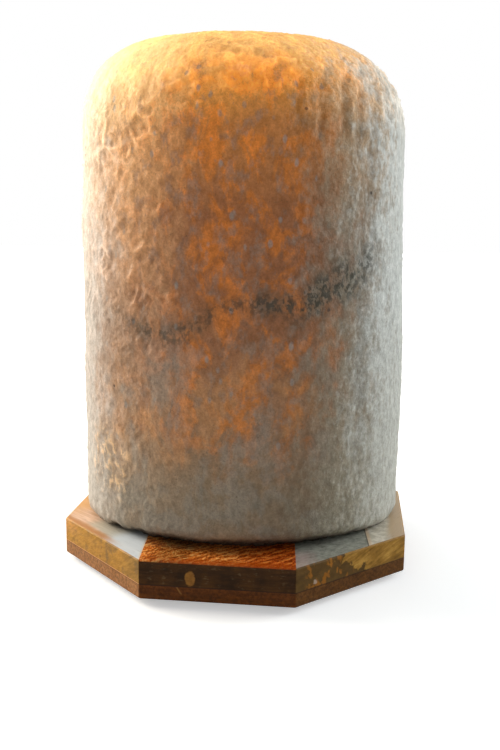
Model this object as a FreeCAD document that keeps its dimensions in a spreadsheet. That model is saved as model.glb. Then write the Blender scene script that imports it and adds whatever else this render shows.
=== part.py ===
import FreeCAD, Part

import math
import os
from types import SimpleNamespace

import Sketcher
from FreeCAD import Vector

# A salt crystal lamp: a hewn block of rock salt on an octagonal base of glued planks over a thin
# lower board. A spring clip holds the lampholder and its small bulb in the blind bore of the block.
# Millimetres. The origin is the middle of the octagon, at the underside of the feet, +Z is up and
# the front flat of the octagon faces -Y.

doc = FreeCAD.newDocument("SaltLamp")

# name, value in mm (or degrees where it says angle, or a count), meaning
DRIVING = [
    ("corner_radius", 72, "octagon: middle to a corner"),
    ("plank_thick", 9, "upper planks"),
    ("board_thick", 5.5, "lower board"),
    ("corner_round", 1.4, "rounding of the upright corners of the base"),
    ("edge_round", 0.8, "easing of the outer top and bottom edges of the base"),
    ("seam_angle", 5, "degrees that the planks' seams are turned from front to back"),
    ("far_plank_wide", 23, "far right plank, from its seam to the octagon's right corner"),
    ("foot_high", 2.5, "rubber foot"),
    ("foot_wide", 12, "rubber foot, diameter at the board"),
    ("foot_ring", 54, "middle of the base to the middle of a foot"),
    ("foot_angle", 45, "angle of the first foot"),
    ("salt_wide", 127, "salt block, side to side"),
    ("salt_deep", 122, "salt block, front to back"),
    ("salt_high", 184, "salt block above the planks"),
    ("salt_back", 4, "the block stands this far behind the middle of the octagon"),
    ("salt_taper", 1.4, "the block is this much narrower all round at its lower rim"),
    ("salt_taper_high", 16, "height over which it narrows"),
    ("rim_break", 3.6, "broken lower rim of the block"),
    ("crown_round", 37, "rounding of the block's shoulders"),
    ("bore_wide", 46, "bore for the lampholder, through the base and into the block"),
    ("bore_deep", 124, "depth of the bore in the block"),
    ("bore_end_round", 5, "rounding at the end of the bore"),
    ("slot_wide", 8, "slot for the cord in the lower board"),
    ("fit_gap", 0.1, "radial clearance of fixed round fits"),
    ("salt_screw_count", 3, "screws that hold the block"),
    ("salt_screw_ring", 42, "middle of the base to a screw of the block"),
    ("salt_screw_angle", 45, "angle of the first of them"),
    ("salt_screw_wide", 4, "shank diameter"),
    ("salt_screw_head", 8, "head diameter"),
    ("salt_screw_long", 35, "length with the head"),
    ("plug_wide", 6, "plastic plug in the salt, diameter"),
    ("plug_long", 24, "plastic plug, length"),
    ("board_screw_count", 4, "screws that join the boards"),
    ("board_screw_ring", 57, "middle of the base to one of them"),
    ("board_screw_angle", 12, "angle of the first of them"),
    ("board_screw_wide", 3, "shank diameter"),
    ("board_screw_head", 6, "head diameter"),
    ("board_screw_long", 12, "length with the head"),
    ("screw_tip", 3, "length of a screw's point"),
    ("recess_wide", 0.9, "width of the slots of a cross recess"),
    ("recess_deep", 0.8, "depth of a cross recess"),
    ("holder_low", 13, "lower end of the cord bush above the ground"),
    ("bush_wide", 10, "cord bush, outside"),
    ("cord_hole", 7, "cord bush, hole for the cord"),
    ("bush_stub", 6, "bush below the clip"),
    ("bush_collar", 15, "collar of the bush inside the cap"),
    ("bush_collar_high", 2, "thickness of that collar"),
    ("nut_flats", 14, "nut across its flats"),
    ("nut_high", 3, "nut"),
    ("clip_thick", 0.8, "spring steel of the clip"),
    ("clip_ring_wide", 20, "flat ring of the clip"),
    ("clip_arm_count", 3, "arms of the clip"),
    ("clip_arm_wide", 6, "width of an arm"),
    ("clip_arm_high", 17, "height from the ring to where an arm meets the wall of the bore"),
    ("clip_arm_lean", 4.25, "how far an arm leans outward over that height"),
    ("clip_lip_high", 4, "inward lip above that"),
    ("clip_lip_lean", 2, "how far the lip leans inward"),
    ("clip_gap", 0.25, "arm to wall, while the model holds the clip relaxed"),
    ("cap_wide", 28, "holder cap and shell, outside"),
    ("cap_wall", 1.6, "their wall"),
    ("cap_floor", 2, "floor of the cap"),
    ("cavity_high", 11, "wiring space under the insert"),
    ("cap_overlap", 8, "the shell's thread in the cap"),
    ("insert_disc", 4, "ceramic insert, disc"),
    ("sleeve_wall", 1.6, "ceramic insert, sleeve"),
    ("sleeve_high", 15, "ceramic insert, sleeve above the disc"),
    ("shell_lip", 2, "thickness of the shell's top lip"),
    ("thread_wide", 14.2, "inside of the screw shell"),
    ("brass_thick", 0.4, "sheet brass of shell and contacts"),
    ("terminal_wide", 4.6, "terminal block, along X"),
    ("terminal_deep", 5, "terminal block, along Y"),
    ("terminal_high", 6, "terminal block"),
    ("neutral_out", 5.4, "the neutral terminal and its rivet, left of the middle"),
    ("live_out", 0.9, "the live terminal and its rivet, right of the middle"),
    ("rivet_wide", 2, "rivet"),
    ("rivet_deep", 2, "how deep a rivet stands in its terminal"),
    ("flange_wide", 3.4, "flange of the screw shell, inward"),
    ("terminal_screw_wide", 2.4, "terminal screw"),
    ("terminal_screw_rise", 2, "terminal screw above the foot of its block"),
    ("terminal_head_wide", 4.6, "head of the terminal screw, diameter"),
    ("terminal_head_high", 1.6, "head of the terminal screw"),
    ("contact_high", 3, "spring contact above the disc"),
    ("contact_wide", 4, "spring contact, width"),
    ("contact_long", 5.6, "spring contact, length of its foot"),
    ("thread_gap", 0.3, "bulb cap in the screw shell, all round"),
    ("tip_high", 1.3, "solder tip of the bulb"),
    ("tip_wide", 5, "solder tip, diameter"),
    ("tip_end_wide", 3.4, "solder tip, diameter at its lower end"),
    ("glass_ring_high", 2.6, "glass insulator of the bulb's cap"),
    ("lamp_cap_high", 15.5, "brass cap of the bulb"),
    ("bulb_wide", 25, "glass of the bulb"),
    ("bulb_neck", 12, "neck of the glass"),
    ("neck_deep", 10.4, "how deep the neck stands in the brass cap"),
    ("bulb_high", 37, "glass above the brass cap"),
    ("bulb_flare", 10, "height over which the neck widens"),
    ("bulb_bend", 6.6, "rounding of the two bends of the glass"),
    ("glass_thick", 0.7, "glass"),
    ("stem_wide", 4, "glass stem"),
    ("stem_high", 14, "glass stem above the brass cap"),
    ("wire_wide", 0.6, "lead wires"),
    ("wire_high", 9, "lead wires above the stem"),
    ("wire_spread", 5, "lead wire's end from the middle"),
    ("filament_wide", 0.4, "filament"),
]

FACETS = 8  # sides of the base
NUT_SIDES = 6
FOOT_NAMES = ("rear_right", "rear_left", "front_left", "front_right")
RECESS_SHARE = 0.3  # a cross recess reaches this share of the head's diameter from its middle
FILAMENT_HALF_ARC = 50  # degrees of arc on each side of the filament's top
NEAR = 1e-4  # two heights or lengths closer than this are the same


class Size:
    """A length, kept both as the sheet's formula and as its present value."""

    def __init__(self, text, value):
        self.text = text
        self.value = value

    def _with(self, sign, other, value):
        right = other.text if isinstance(other, Size) else repr(other)
        return Size(f"({self.text} {sign} {right})", value)

    def __add__(self, other):
        return self._with("+", other, self.value + plain(other))

    def __sub__(self, other):
        return self._with("-", other, self.value - plain(other))

    def __mul__(self, other):
        return self._with("*", other, self.value * plain(other))

    def __truediv__(self, other):
        return self._with("/", other, self.value / plain(other))

    def __neg__(self):
        return Size(f"(-{self.text})", -self.value)


def plain(size):
    return size.value if isinstance(size, Size) else size


def root(size):
    return Size(f"sqrt({size.text})", math.sqrt(size.value))


def make_sheet():
    """The driving dimensions, one row each: name, value, meaning."""
    sheet = doc.addObject("Spreadsheet::Sheet", "Sizes")
    for row, (name, value, meaning) in enumerate(DRIVING, start=1):
        sheet.set(f"A{row}", name)
        sheet.set(f"B{row}", str(value))
        sheet.setAlias(f"B{row}", name)
        sheet.set(f"C{row}", meaning)
    doc.recompute()
    return SimpleNamespace(**{name: Size(f"Sizes.{name}", value) for name, value, _ in DRIVING})


S = make_sheet()

ZERO = Size("0", 0)
BOARD_FLOOR = S.foot_high
PLANK_FLOOR = BOARD_FLOOR + S.board_thick
SALT_FLOOR = PLANK_FLOOR + S.plank_thick
BORE_RADIUS = S.bore_wide / 2
CLIP_FLOOR = S.holder_low + S.bush_stub
CAP_FLOOR = CLIP_FLOOR + S.clip_thick
CAVITY_FLOOR = CAP_FLOOR + S.cap_floor
DISC_FLOOR = CAVITY_FLOOR + S.cavity_high
DISC_TOP = DISC_FLOOR + S.insert_disc
CAP_RIM = DISC_TOP + S.cap_overlap
SLEEVE_TOP = DISC_TOP + S.sleeve_high
SHELL_TOP = SLEEVE_TOP + S.fit_gap + S.shell_lip
BUSH_RADIUS = S.bush_wide / 2
CAP_RADIUS = S.cap_wide / 2
CAP_INSIDE = CAP_RADIUS - S.cap_wall
SCREW_SHELL_INSIDE = S.thread_wide / 2
SCREW_SHELL_OUTSIDE = SCREW_SHELL_INSIDE + S.brass_thick
TIP_FLOOR = DISC_TOP + S.contact_high
GLASS_RING_FLOOR = TIP_FLOOR + S.tip_high
LAMP_CAP_FLOOR = GLASS_RING_FLOOR + S.glass_ring_high
LAMP_CAP_TOP = LAMP_CAP_FLOOR + S.lamp_cap_high
LAMP_CAP_RADIUS = SCREW_SHELL_INSIDE - S.thread_gap
NECK_RADIUS = S.bulb_neck / 2
BULB_TOP = LAMP_CAP_TOP + S.bulb_high
NECK_FLOOR = LAMP_CAP_TOP - S.neck_deep
STEM_TOP = LAMP_CAP_TOP + S.stem_high
WIRE_TOP = STEM_TOP + S.wire_high

RIVETS = [-S.neutral_out, S.live_out]
RIVET_RADIUS = S.rivet_wide / 2

SCREWS = [
    SimpleNamespace(
        name="salt_screw",
        shank=S.salt_screw_wide,
        head=S.salt_screw_head,
        long=S.salt_screw_long,
        ring=S.salt_screw_ring,
        first=S.salt_screw_angle,
        count=S.salt_screw_count,
    ),
    SimpleNamespace(
        name="board_screw",
        shank=S.board_screw_wide,
        head=S.board_screw_head,
        long=S.board_screw_long,
        ring=S.board_screw_ring,
        first=S.board_screw_angle,
        count=S.board_screw_count,
    ),
]


def bind(thing, name, size):
    thing.setExpression(name, size.text)


def origin_part(body, role):
    return next(part for part in body.Origin.OriginFeatures if part.Role == role)


def new_body(name):
    body = doc.addObject("PartDesign::Body", name)
    body.Label = name
    return body


def sketch_on(body, name, role="XY_Plane", lift=None):
    """A sketch on one of the body's own planes, raised by lift along the plane's normal."""
    sketch = body.newObject("Sketcher::SketchObject", name)
    sketch.AttachmentSupport = [(origin_part(body, role), "")]
    sketch.MapMode = "FlatFace"
    if lift is not None:
        bind(sketch, "AttachmentOffset.Base.z", lift)
    return sketch


def place_point(sketch, edge, end, x, y):
    """Ties one end of a sketch edge to its distances from the sketch's origin."""
    for kind, size, axis in (("DistanceX", x, -2), ("DistanceY", y, -1)):
        if size.text == ZERO.text:
            sketch.addConstraint(Sketcher.Constraint("PointOnObject", edge, end, axis))
            continue
        index = sketch.addConstraint(Sketcher.Constraint(kind, -1, 1, edge, end, size.value))
        sketch.setExpression(f"Constraints[{index}]", size.text)


def draw_polygon(sketch, points):
    """A closed outline through (x, y) points, each tied to the sheet."""
    ends = points[1:] + points[:1]
    spots = [Vector(x.value, y.value, 0) for x, y in points]
    next_spots = spots[1:] + spots[:1]
    edges = [sketch.addGeometry(Part.LineSegment(a, b), False) for a, b in zip(spots, next_spots)]
    for here, after in zip(edges, edges[1:] + edges[:1]):
        sketch.addConstraint(Sketcher.Constraint("Coincident", here, 2, after, 1))
    for edge, (x, y) in zip(edges, ends):
        place_point(sketch, edge, 2, x, y)
    return edges


def draw_circle(sketch, radius, x=ZERO, y=ZERO):
    curve = Part.Circle(Vector(x.value, y.value, 0), Vector(0, 0, 1), radius.value)
    circle = sketch.addGeometry(curve, False)
    place_point(sketch, circle, 3, x, y)
    index = sketch.addConstraint(Sketcher.Constraint("Radius", circle, radius.value))
    sketch.setExpression(f"Constraints[{index}]", radius.text)


def draw_box(sketch, x, y, wide, deep):
    """A rectangle with its middle at (x, y)."""
    left, right = x - wide / 2, x + wide / 2
    low, high = y - deep / 2, y + deep / 2
    draw_polygon(sketch, [(left, low), (right, low), (right, high), (left, high)])


def pad(body, name, sketch, length, midplane=False):
    feature = body.newObject("PartDesign::Pad", name)
    feature.Profile = sketch
    feature.Midplane = midplane
    bind(feature, "Length", length)
    return feature


def pocket_up(body, name, sketch, depth):
    """Cuts upward from the sketch."""
    feature = body.newObject("PartDesign::Pocket", name)
    feature.Profile = sketch
    feature.Reversed = True
    bind(feature, "Length", depth)
    return feature


def revolve(body, name, sketch, axis=None):
    feature = body.newObject("PartDesign::Revolution", name)
    feature.Profile = sketch
    feature.ReferenceAxis = axis or (origin_part(body, "Z_Axis"), [""])
    feature.Angle = 360
    return feature


def ring_pattern(body, name, features, count):
    """Repeats features round the body's upright axis."""
    pattern = body.newObject("PartDesign::PolarPattern", name)
    pattern.Originals = features
    pattern.Axis = (origin_part(body, "Z_Axis"), [""])
    pattern.Angle = 360
    bind(pattern, "Occurrences", count)
    body.Tip = pattern
    return pattern


def round_edges(body, name, base, edges, radius, kind="PartDesign::Fillet"):
    feature = body.newObject(kind, name)
    feature.Base = (base, edges)
    bind(feature, "Size" if kind == "PartDesign::Chamfer" else "Radius", radius)
    return feature


def level_edges(shape, height):
    """Names of the edges that lie flat at a height."""
    return [
        f"Edge{number}"
        for number, edge in enumerate(shape.Edges, start=1)
        if abs(edge.BoundBox.ZMin - height) < NEAR and abs(edge.BoundBox.ZMax - height) < NEAR
    ]


def upright_edges(shape):
    return [
        f"Edge{number}"
        for number, edge in enumerate(shape.Edges, start=1)
        if edge.BoundBox.XLength < NEAR and edge.BoundBox.YLength < NEAR
    ]


def on_ring(radius, first, count, number):
    """Place of one of count things spread evenly on a ring."""
    angle = f"(({first.text} + {number} * 360 / {plain(count)}) * 1 deg)"
    radians = math.radians(first.value + number * 360 / plain(count))
    x = Size(f"({radius.text} * cos({angle}))", radius.value * math.cos(radians))
    y = Size(f"({radius.text} * sin({angle}))", radius.value * math.sin(radians))
    return x, y


def regular_corners(reach, sides, first):
    """Corners of a regular polygon, its first corner at an angle in degrees."""
    start = Size(str(first), first)
    return [on_ring(reach, start, sides, corner) for corner in range(sides)]


def turned(name, outline):
    """A body turned about the upright axis from an outline of (radius, height) points."""
    body = new_body(name)
    sketch = sketch_on(body, f"{name}_outline", "XZ_Plane")
    draw_polygon(sketch, outline)
    revolve(body, f"{name}_turning", sketch)
    return body


# ---------------------------------------------------------------- the block of salt


def draw_oval(sketch, wide, deep):
    """An ellipse about the sketch's origin, its longer axis along X or Y, whichever is larger."""
    along_x = wide.value >= deep.value
    longer, shorter = (wide, deep) if along_x else (deep, wide)
    reach, side = longer.value / 2, shorter.value / 2
    tip = Vector(reach, 0, 0) if along_x else Vector(0, reach, 0)
    flank = Vector(0, side, 0) if along_x else Vector(-side, 0, 0)
    oval = sketch.addGeometry(Part.Ellipse(tip, flank, Vector(0, 0, 0)), False)
    sketch.exposeInternalGeometry(oval)
    major, minor = oval + 1, oval + 2
    sketch.addConstraint(Sketcher.Constraint("Coincident", oval, 3, -1, 1))
    sketch.addConstraint(Sketcher.Constraint("Horizontal" if along_x else "Vertical", major))
    for axis, size in ((major, longer), (minor, shorter)):
        index = sketch.addConstraint(Sketcher.Constraint("Distance", axis, size.value))
        sketch.setExpression(f"Constraints[{index}]", size.text)


def salt_block():
    """An upright oval block, narrowing to its broken lower rim, with round shoulders."""
    body = new_body("salt_block")
    flank_floor = SALT_FLOOR + S.salt_taper_high
    levels = {
        "flank": (flank_floor, ZERO),
        "rim": (SALT_FLOOR + S.rim_break, S.salt_taper),
        "foot": (SALT_FLOOR, S.salt_taper + S.rim_break),
    }
    sections = {}
    for name, (height, narrow) in levels.items():
        sections[name] = sketch_on(body, f"salt_{name}", lift=height)
        draw_oval(sections[name], S.salt_wide - narrow * 2, S.salt_deep - narrow * 2)
    upper = pad(body, "salt_upper", sections["flank"], S.salt_high - S.salt_taper_high)
    doc.recompute()
    crown = level_edges(upper.Shape, (SALT_FLOOR + S.salt_high).value)
    round_edges(body, "salt_crown", upper, crown, S.crown_round)
    for name, start, end in (("salt_flare", "flank", "rim"), ("salt_undercut", "rim", "foot")):
        doc.recompute()
        loft = body.newObject("PartDesign::AdditiveLoft", name)
        loft.Profile = sections[start]
        loft.Sections = [sections[end]]
        loft.Ruled = True
    doc.recompute()
    # the bore and the plugs stand about the octagon's middle, which lies in front of the block's
    bore = sketch_on(body, "salt_bore_outline", lift=SALT_FLOOR)
    draw_circle(bore, BORE_RADIUS, y=-S.salt_back)
    hollow = pocket_up(body, "salt_bore", bore, S.bore_deep)
    doc.recompute()
    bore_end = level_edges(hollow.Shape, (SALT_FLOOR + S.bore_deep).value)
    round_edges(body, "salt_bore_end", hollow, bore_end, S.bore_end_round)
    plug_holes = sketch_on(body, "salt_plug_holes", lift=SALT_FLOOR)
    for number in range(S.salt_screw_count.value):
        x, y = on_ring(S.salt_screw_ring, S.salt_screw_angle, S.salt_screw_count, number)
        draw_circle(plug_holes, S.plug_wide / 2 + S.fit_gap, x, y - S.salt_back)
    screw_reach = S.salt_screw_long - S.board_thick - S.plank_thick
    deeper = max((S.plug_long, screw_reach), key=plain)
    pocket_up(body, "salt_plug_pockets", plug_holes, deeper + S.fit_gap)
    bind(body, "Placement.Base.y", S.salt_back)
    return body


# ---------------------------------------------------------------- the base


def octagon_blank(name, floor, thick, eased_height):
    """An octagonal board with the bore, its corners rounded and its outer edges eased."""
    body = new_body(name)
    outline = sketch_on(body, f"{name}_octagon", lift=floor)
    draw_polygon(outline, regular_corners(S.corner_radius, FACETS, 180 / FACETS))
    board = pad(body, f"{name}_board", outline, thick)
    doc.recompute()
    rounded = round_edges(body, f"{name}_corners", board, upright_edges(board.Shape), S.corner_round)
    doc.recompute()
    rim = level_edges(rounded.Shape, eased_height.value)
    round_edges(body, f"{name}_eased", rounded, rim, S.edge_round)
    doc.recompute()
    bore = sketch_on(body, f"{name}_bore_outline", lift=floor)
    draw_circle(bore, BORE_RADIUS)
    pocket_up(body, f"{name}_bore", bore, thick)
    return body


def ring_holes(body, name, floor, depth, radius, kind):
    """Round holes for one kind of screw, cut upward."""
    sketch = sketch_on(body, f"{name}_outline", lift=floor)
    for number in range(kind.count.value):
        x, y = on_ring(kind.ring, kind.first, kind.count, number)
        draw_circle(sketch, radius, x, y)
    return pocket_up(body, name, sketch, depth)


def countersink(body, name, base, radius, size):
    """Bevels the lower mouths of the holes of one radius."""
    mouths = [
        edge_name
        for edge_name in level_edges(base.Shape, BOARD_FLOOR.value)
        if abs(base.Shape.getElement(edge_name).Length - 2 * math.pi * radius.value) < NEAR
    ]
    return round_edges(body, name, base, mouths, size, "PartDesign::Chamfer")


def lower_board():
    body = octagon_blank("lower_board", BOARD_FLOOR, S.board_thick, BOARD_FLOOR)
    slot = sketch_on(body, "cord_slot_outline", lift=BOARD_FLOOR)
    half = S.slot_wide / 2
    draw_polygon(slot, [(-half, ZERO), (half, ZERO), (half, S.corner_radius), (-half, S.corner_radius)])
    pocket_up(body, "cord_slot", slot, S.board_thick)
    for kind in SCREWS:
        radius = kind.shank / 2 + S.fit_gap
        holes = ring_holes(body, f"{kind.name}_holes", BOARD_FLOOR, S.board_thick, radius, kind)
        doc.recompute()
        countersink(body, f"{kind.name}_sinks", holes, radius, (kind.head - kind.shank) / 2)
    return body


def upper_blank():
    """The octagon that the planks are glued up and cut to, with its screw holes."""
    body = octagon_blank("plank_blank", PLANK_FLOOR, S.plank_thick, SALT_FLOOR)
    for kind in SCREWS:
        reach = kind.long - S.board_thick + S.fit_gap
        depth = min((reach, S.plank_thick), key=plain)
        radius = kind.shank / 2 + S.fit_gap
        ring_holes(body, f"{kind.name}_ways", PLANK_FLOOR, depth, radius, kind)
    return body


def seam_at_corner(side):
    """Distance from the middle to the turned seam that starts at a front corner of the octagon."""
    half_facet = 180 / FACETS
    angle = f"(({half_facet} - {side} * {S.seam_angle.text}) * 1 deg)"
    radians = math.radians(half_facet - side * S.seam_angle.value)
    reach = S.corner_radius
    return Size(f"({reach.text} * sin({angle}))", reach.value * math.sin(radians))


def planks():
    """Strips between the turned seams, each shared with the octagon and the bore."""
    blank = upper_blank()
    edge = S.corner_radius
    left_seam = -seam_at_corner(-1)
    right_seam = seam_at_corner(1)
    far_seam = edge - S.far_plank_wide
    strips = [
        ("plank_left", -edge, left_seam),
        ("plank_middle", left_seam, right_seam),
        ("plank_right", right_seam, far_seam),
        ("plank_far_right", far_seam, edge),
    ]
    pieces = []
    for name, left, right in strips:
        strip = doc.addObject("Part::Box", f"{name}_strip")
        turn = f"({S.seam_angle.text} * 1 deg)"
        bind(strip, "Length", right - left)
        bind(strip, "Width", edge * 2)
        bind(strip, "Height", S.plank_thick)
        strip.setExpression("Placement.Rotation.Angle", turn)
        strip.setExpression("Placement.Base.x", f"{left.text} * cos({turn}) + {edge.text} * sin({turn})")
        strip.setExpression("Placement.Base.y", f"{left.text} * sin({turn}) - {edge.text} * cos({turn})")
        bind(strip, "Placement.Base.z", PLANK_FLOOR)
        piece = doc.addObject("Part::Common", name)
        piece.Label = name
        piece.Base = blank
        piece.Tool = strip
        pieces.append(piece)
    return pieces


def feet():
    """Four round rubber feet, narrower at the ground."""
    top = S.foot_wide / 2
    ground = top - S.edge_round
    pieces = []
    outline = [(ZERO, ZERO), (ground, ZERO), (top, S.foot_high), (ZERO, S.foot_high)]
    for number, name in enumerate(FOOT_NAMES):
        foot = turned(f"foot_{name}", outline)
        x, y = on_ring(S.foot_ring, S.foot_angle, len(FOOT_NAMES), number)
        bind(foot, "Placement.Base.x", x)
        bind(foot, "Placement.Base.y", y)
        pieces.append(foot)
    return pieces


# ---------------------------------------------------------------- screws


def cross(sketch, reach, half):
    """The plus-shaped outline of a cross recess."""
    quarter = [(reach, half), (half, half), (half, reach)]
    corners = []
    for across, up in ((1, 1), (-1, 1), (-1, -1), (1, -1)):
        points = quarter if across == up else quarter[::-1]
        corners += [(x * across, y * up) for x, y in points]
    draw_polygon(sketch, corners)


def wood_screws(kind):
    """Countersunk screws with cross recesses, points up, as one group of solids."""
    body = new_body(f"{kind.name}s")
    outline = sketch_on(body, f"{kind.name}_outline", "XZ_Plane")
    bind(outline, "AttachmentOffset.Base.x", kind.ring)
    floor = BOARD_FLOOR
    top = floor + kind.long
    shank = kind.shank / 2
    points = [
        (ZERO, floor),
        (kind.head / 2, floor),
        (shank, floor + (kind.head / 2 - shank)),
        (shank, top - S.screw_tip),
        (ZERO, top),
    ]
    draw_polygon(outline, points)
    screw = revolve(body, f"{kind.name}_turning", outline, (outline, ["V_Axis"]))
    recess_outline = sketch_on(body, f"{kind.name}_recess_outline", lift=floor)
    bind(recess_outline, "AttachmentOffset.Base.x", kind.ring)
    cross(recess_outline, kind.head * RECESS_SHARE, S.recess_wide / 2)
    recess = pocket_up(body, f"{kind.name}_recess", recess_outline, S.recess_deep)
    ring_pattern(body, f"{kind.name}_ring", [screw, recess], kind.count)
    body.setExpression("Placement.Rotation.Angle", f"{kind.first.text} * 1 deg")
    return body


def salt_plugs():
    """Plastic plugs that the block's screws bite in."""
    body = new_body("salt_plugs")
    outline = sketch_on(body, "salt_plug_outline", "XZ_Plane")
    bind(outline, "AttachmentOffset.Base.x", S.salt_screw_ring)
    inside = S.salt_screw_wide / 2 + S.fit_gap
    outside = S.plug_wide / 2
    top = SALT_FLOOR + S.plug_long
    draw_polygon(outline, [(inside, SALT_FLOOR), (outside, SALT_FLOOR), (outside, top), (inside, top)])
    plug = revolve(body, "salt_plug_turning", outline, (outline, ["V_Axis"]))
    ring_pattern(body, "salt_plug_ring", [plug], S.salt_screw_count)
    body.setExpression("Placement.Rotation.Angle", f"{S.salt_screw_angle.text} * 1 deg")
    return body


# ---------------------------------------------------------------- the lampholder


def clip_nut():
    body = new_body("clip_nut")
    outline = sketch_on(body, "clip_nut_outline", lift=CLIP_FLOOR - S.nut_high)
    corner = S.nut_flats / 2 / math.cos(math.pi / NUT_SIDES)
    draw_polygon(outline, regular_corners(corner, NUT_SIDES, 0))
    draw_circle(outline, BUSH_RADIUS + S.fit_gap)
    pad(body, "clip_nut_block", outline, S.nut_high)
    return body


def spring_clip():
    """A flat ring with sprung arms that press on the wall of the bore."""
    body = new_body("spring_clip")
    ring = sketch_on(body, "clip_ring_outline", lift=CLIP_FLOOR)
    draw_circle(ring, S.clip_ring_wide / 2)
    draw_circle(ring, BUSH_RADIUS + S.fit_gap)
    pad(body, "clip_ring", ring, S.clip_thick)
    half = S.clip_arm_wide / 2
    wall = BORE_RADIUS - S.clip_gap
    reach = root(wall * wall - half * half)
    start = S.clip_ring_wide / 2 - S.clip_thick
    knee = reach - S.clip_arm_lean
    thick = S.clip_thick
    top = CLIP_FLOOR + S.clip_arm_high
    lip_top = top + S.clip_lip_high
    lip_reach = reach - S.clip_lip_lean
    arm = sketch_on(body, "clip_arm_outline", "XZ_Plane")
    draw_polygon(
        arm,
        [
            (start, CLIP_FLOOR),
            (knee, CLIP_FLOOR),
            (reach, top),
            (lip_reach, lip_top),
            (lip_reach - thick, lip_top),
            (reach - thick, top),
            (knee - thick, CLIP_FLOOR + thick),
            (start, CLIP_FLOOR + thick),
        ],
    )
    strip = pad(body, "clip_arm", arm, S.clip_arm_wide, midplane=True)
    ring_pattern(body, "clip_arms", [strip], S.clip_arm_count)
    return body


def cord_bush():
    top = CAVITY_FLOOR + S.bush_collar_high
    inside = S.cord_hole / 2
    collar = S.bush_collar / 2
    return turned(
        "cord_bush",
        [
            (inside, S.holder_low),
            (BUSH_RADIUS, S.holder_low),
            (BUSH_RADIUS, CAVITY_FLOOR),
            (collar, CAVITY_FLOOR),
            (collar, top),
            (inside, top),
        ],
    )


def holder_cap():
    """Cup with a ledge on which the ceramic insert lies."""
    ledge = CAP_INSIDE - S.cap_wall
    hole = BUSH_RADIUS + S.fit_gap
    return turned(
        "holder_cap",
        [
            (hole, CAP_FLOOR),
            (CAP_RADIUS, CAP_FLOOR),
            (CAP_RADIUS, CAP_RIM),
            (CAP_INSIDE, CAP_RIM),
            (CAP_INSIDE, DISC_FLOOR),
            (ledge, DISC_FLOOR),
            (ledge, CAVITY_FLOOR),
            (hole, CAVITY_FLOOR),
        ],
    )


def holder_shell():
    """Sleeve screwed into the cap, whose lip keeps the insert down."""
    threaded = CAP_INSIDE - S.fit_gap
    inside = threaded - S.cap_wall
    lip = SCREW_SHELL_OUTSIDE + S.fit_gap
    return turned(
        "holder_shell",
        [
            (inside, DISC_TOP),
            (threaded, DISC_TOP),
            (threaded, CAP_RIM),
            (CAP_RADIUS, CAP_RIM),
            (CAP_RADIUS, SHELL_TOP),
            (lip, SHELL_TOP),
            (lip, SHELL_TOP - S.shell_lip),
            (inside, SHELL_TOP - S.shell_lip),
        ],
    )


def holder_insert():
    """Ceramic disc with the sleeve round the screw shell, and the rivets' two holes."""
    disc = CAP_INSIDE - S.fit_gap
    inside = SCREW_SHELL_OUTSIDE + S.fit_gap
    outside = inside + S.sleeve_wall
    body = turned(
        "holder_insert",
        [
            (ZERO, DISC_FLOOR),
            (disc, DISC_FLOOR),
            (disc, DISC_TOP),
            (outside, DISC_TOP),
            (outside, SLEEVE_TOP),
            (inside, SLEEVE_TOP),
            (inside, DISC_TOP),
            (ZERO, DISC_TOP),
        ],
    )
    holes = sketch_on(body, "rivet_holes_outline", lift=DISC_FLOOR)
    for middle in RIVETS:
        draw_circle(holes, RIVET_RADIUS + S.fit_gap, middle)
    pocket_up(body, "rivet_holes", holes, S.insert_disc)
    return body


def screw_shell():
    """Brass sleeve with a flange that lies on the ceramic disc."""
    flange = SCREW_SHELL_INSIDE - S.flange_wide
    body = turned(
        "screw_shell",
        [
            (flange, DISC_TOP),
            (SCREW_SHELL_OUTSIDE, DISC_TOP),
            (SCREW_SHELL_OUTSIDE, SLEEVE_TOP),
            (SCREW_SHELL_INSIDE, SLEEVE_TOP),
            (SCREW_SHELL_INSIDE, DISC_TOP + S.brass_thick),
            (flange, DISC_TOP + S.brass_thick),
        ],
    )
    hole = sketch_on(body, "shell_rivet_outline", lift=DISC_TOP)
    draw_circle(hole, RIVET_RADIUS + S.fit_gap, RIVETS[0])
    pocket_up(body, "shell_rivet_hole", hole, S.brass_thick)
    return body


def centre_contact():
    """Sprung strip, folded up from the disc to the tip of the bulb."""
    body = new_body("centre_contact")
    fold = sketch_on(body, "centre_contact_outline", "XZ_Plane")
    thick = S.brass_thick
    left, right = -S.contact_long / 2, S.contact_long / 2
    top = TIP_FLOOR
    draw_polygon(
        fold,
        [
            (left, DISC_TOP),
            (right, DISC_TOP),
            (right, DISC_TOP + thick),
            (left + thick, DISC_TOP + thick),
            (left + thick, top - thick),
            (right, top - thick),
            (right, top),
            (left, top),
        ],
    )
    pad(body, "centre_contact_strip", fold, S.contact_wide, midplane=True)
    hole = sketch_on(body, "contact_rivet_outline", lift=DISC_TOP)
    draw_circle(hole, RIVET_RADIUS + S.fit_gap, RIVETS[1])
    pocket_up(body, "contact_rivet_hole", hole, thick)
    return body


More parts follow.
